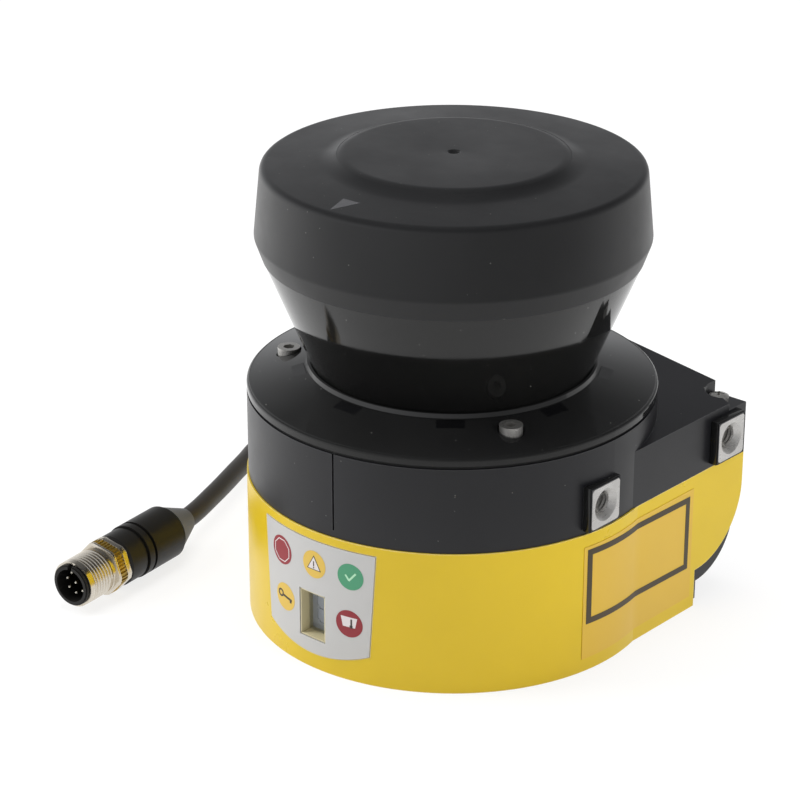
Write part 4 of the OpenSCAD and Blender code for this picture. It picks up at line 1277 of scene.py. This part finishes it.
def knurl_ribs():
    """Small ribs along the nut, copied round the hexagon's outline."""
    rib = block((0.8 * mm, 0.46 * mm, knurl_length))
    apply_modifier(rib, "BEVEL", width=0.12 * mm, segments=2)
    ribs = []
    for step in range(rib_count):
        angle = 2 * math.pi * step / rib_count
        twin = rib.copy()
        twin.data = rib.data.copy()
        scene.collection.objects.link(twin)
        reach = grip_radius(angle) - 0.45 * mm
        twin.rotation_euler = (0, 0, angle)
        twin.location = (reach * math.cos(angle), reach * math.sin(angle),
                         rear_band + knurl_length / 2)
        ribs.append(settle(twin))
    bpy.data.objects.remove(rib, do_unlink=True)
    return join_pieces(ribs, "coupling_nut_knurl")


# %% Nut sleeve, and the nut put together
def sleeve_wall(radius, start, length, bore):
    """A plain sleeve round Z."""
    return bored(round_bar(radius, start, length), radius - bore)


def lay_on_plug(piece, distance):
    """Turns a piece from Z to the plug's axis and moves it along from the tail's end."""
    piece.rotation_euler = (math.pi / 2, 0, plug_turn)
    piece.location = tail_end + plug_axis * distance
    return settle(piece)


def coupling_nut():
    """Grip, sleeve and outer thread on the nut's own body, and the knurl in a brass colour."""
    front_band = rear_band + knurl_length
    parts = [grip_band(nut_gap, rear_band - nut_gap),
             grip_band(front_band, grip_length - front_band),
             sleeve_wall(5.95 * mm, grip_length - 0.2 * mm, 1.5 * mm, thread_root),
             sleeve_wall(5.5 * mm, grip_length - 0.3 * mm, thread_length, sleeve_bore),
             thread("nut_thread", thread_crest, thread_root, pitch=1.0 * mm, turns=7,
                    start=grip_length + 1.2 * mm),
             sleeve_wall(5.9 * mm, grip_length + 8.1 * mm, 1.65 * mm, sleeve_bore)]
    nut = join_pieces(parts, "coupling_nut_threaded")
    lay_on_plug(nut, nut_start)
    hand_over(nut, "nut", "nut_metal", angle=40, replaces=("coupling_nut",))
    knurl = join_pieces([knurl_ribs(), grip_band(rear_band, knurl_length, shrink=knurl_sink)],
                        "coupling_nut_knurl")
    lay_on_plug(knurl, nut_start)
    hand_over(knurl, "nut", "nut_brass", angle=40)
    print("nut: ends", round((nut_start + grip_length + thread_length) / mm, 1),
          "mm from the tail's end")


coupling_nut()

# %% [markdown]
# ## Painted highlights on the pin ends
# Deep in the plug only the rounded ends of the pins catch the light. Each end is a small
# near-white sphere, a painted highlight, set where the frame's pins end: one in the middle
# and seven on a circle.

# %% Pin ends
# A near-white finish that stands in for the pins' glints: a painted highlight.
finishes["pin_end_painted_highlight"] = plastic("pin_end_painted_highlight", linear(250, 246, 232),
                                     linear(240, 234, 218), (0.15, 0.25))
pin_tip = grip_length + thread_length - 1.45 * mm
pin_circle = 2.75 * mm
pin_radius = 0.3 * mm


def painted_pin_highlights():
    """Eight small near-white spheres at the tips of the contact pins: painted highlights."""
    places = [(0.0, 0.0)]
    for step in range(7):
        angle = math.pi / 2 + 2 * math.pi * (step + 0.5) / 7
        places.append((pin_circle * math.cos(angle), pin_circle * math.sin(angle)))
    ends = []
    for x, y in places:
        bpy.ops.mesh.primitive_uv_sphere_add(segments=16, ring_count=8, radius=pin_radius,
                                             location=(x, y, pin_tip + pin_radius))
        ends.append(settle(bpy.context.object))
    piece = lay_on_plug(join_pieces(ends, "contact_pin_painted_highlights"), nut_start)
    return hand_over(piece, "scanner", "pin_end_painted_highlight")


painted_pin_highlights()
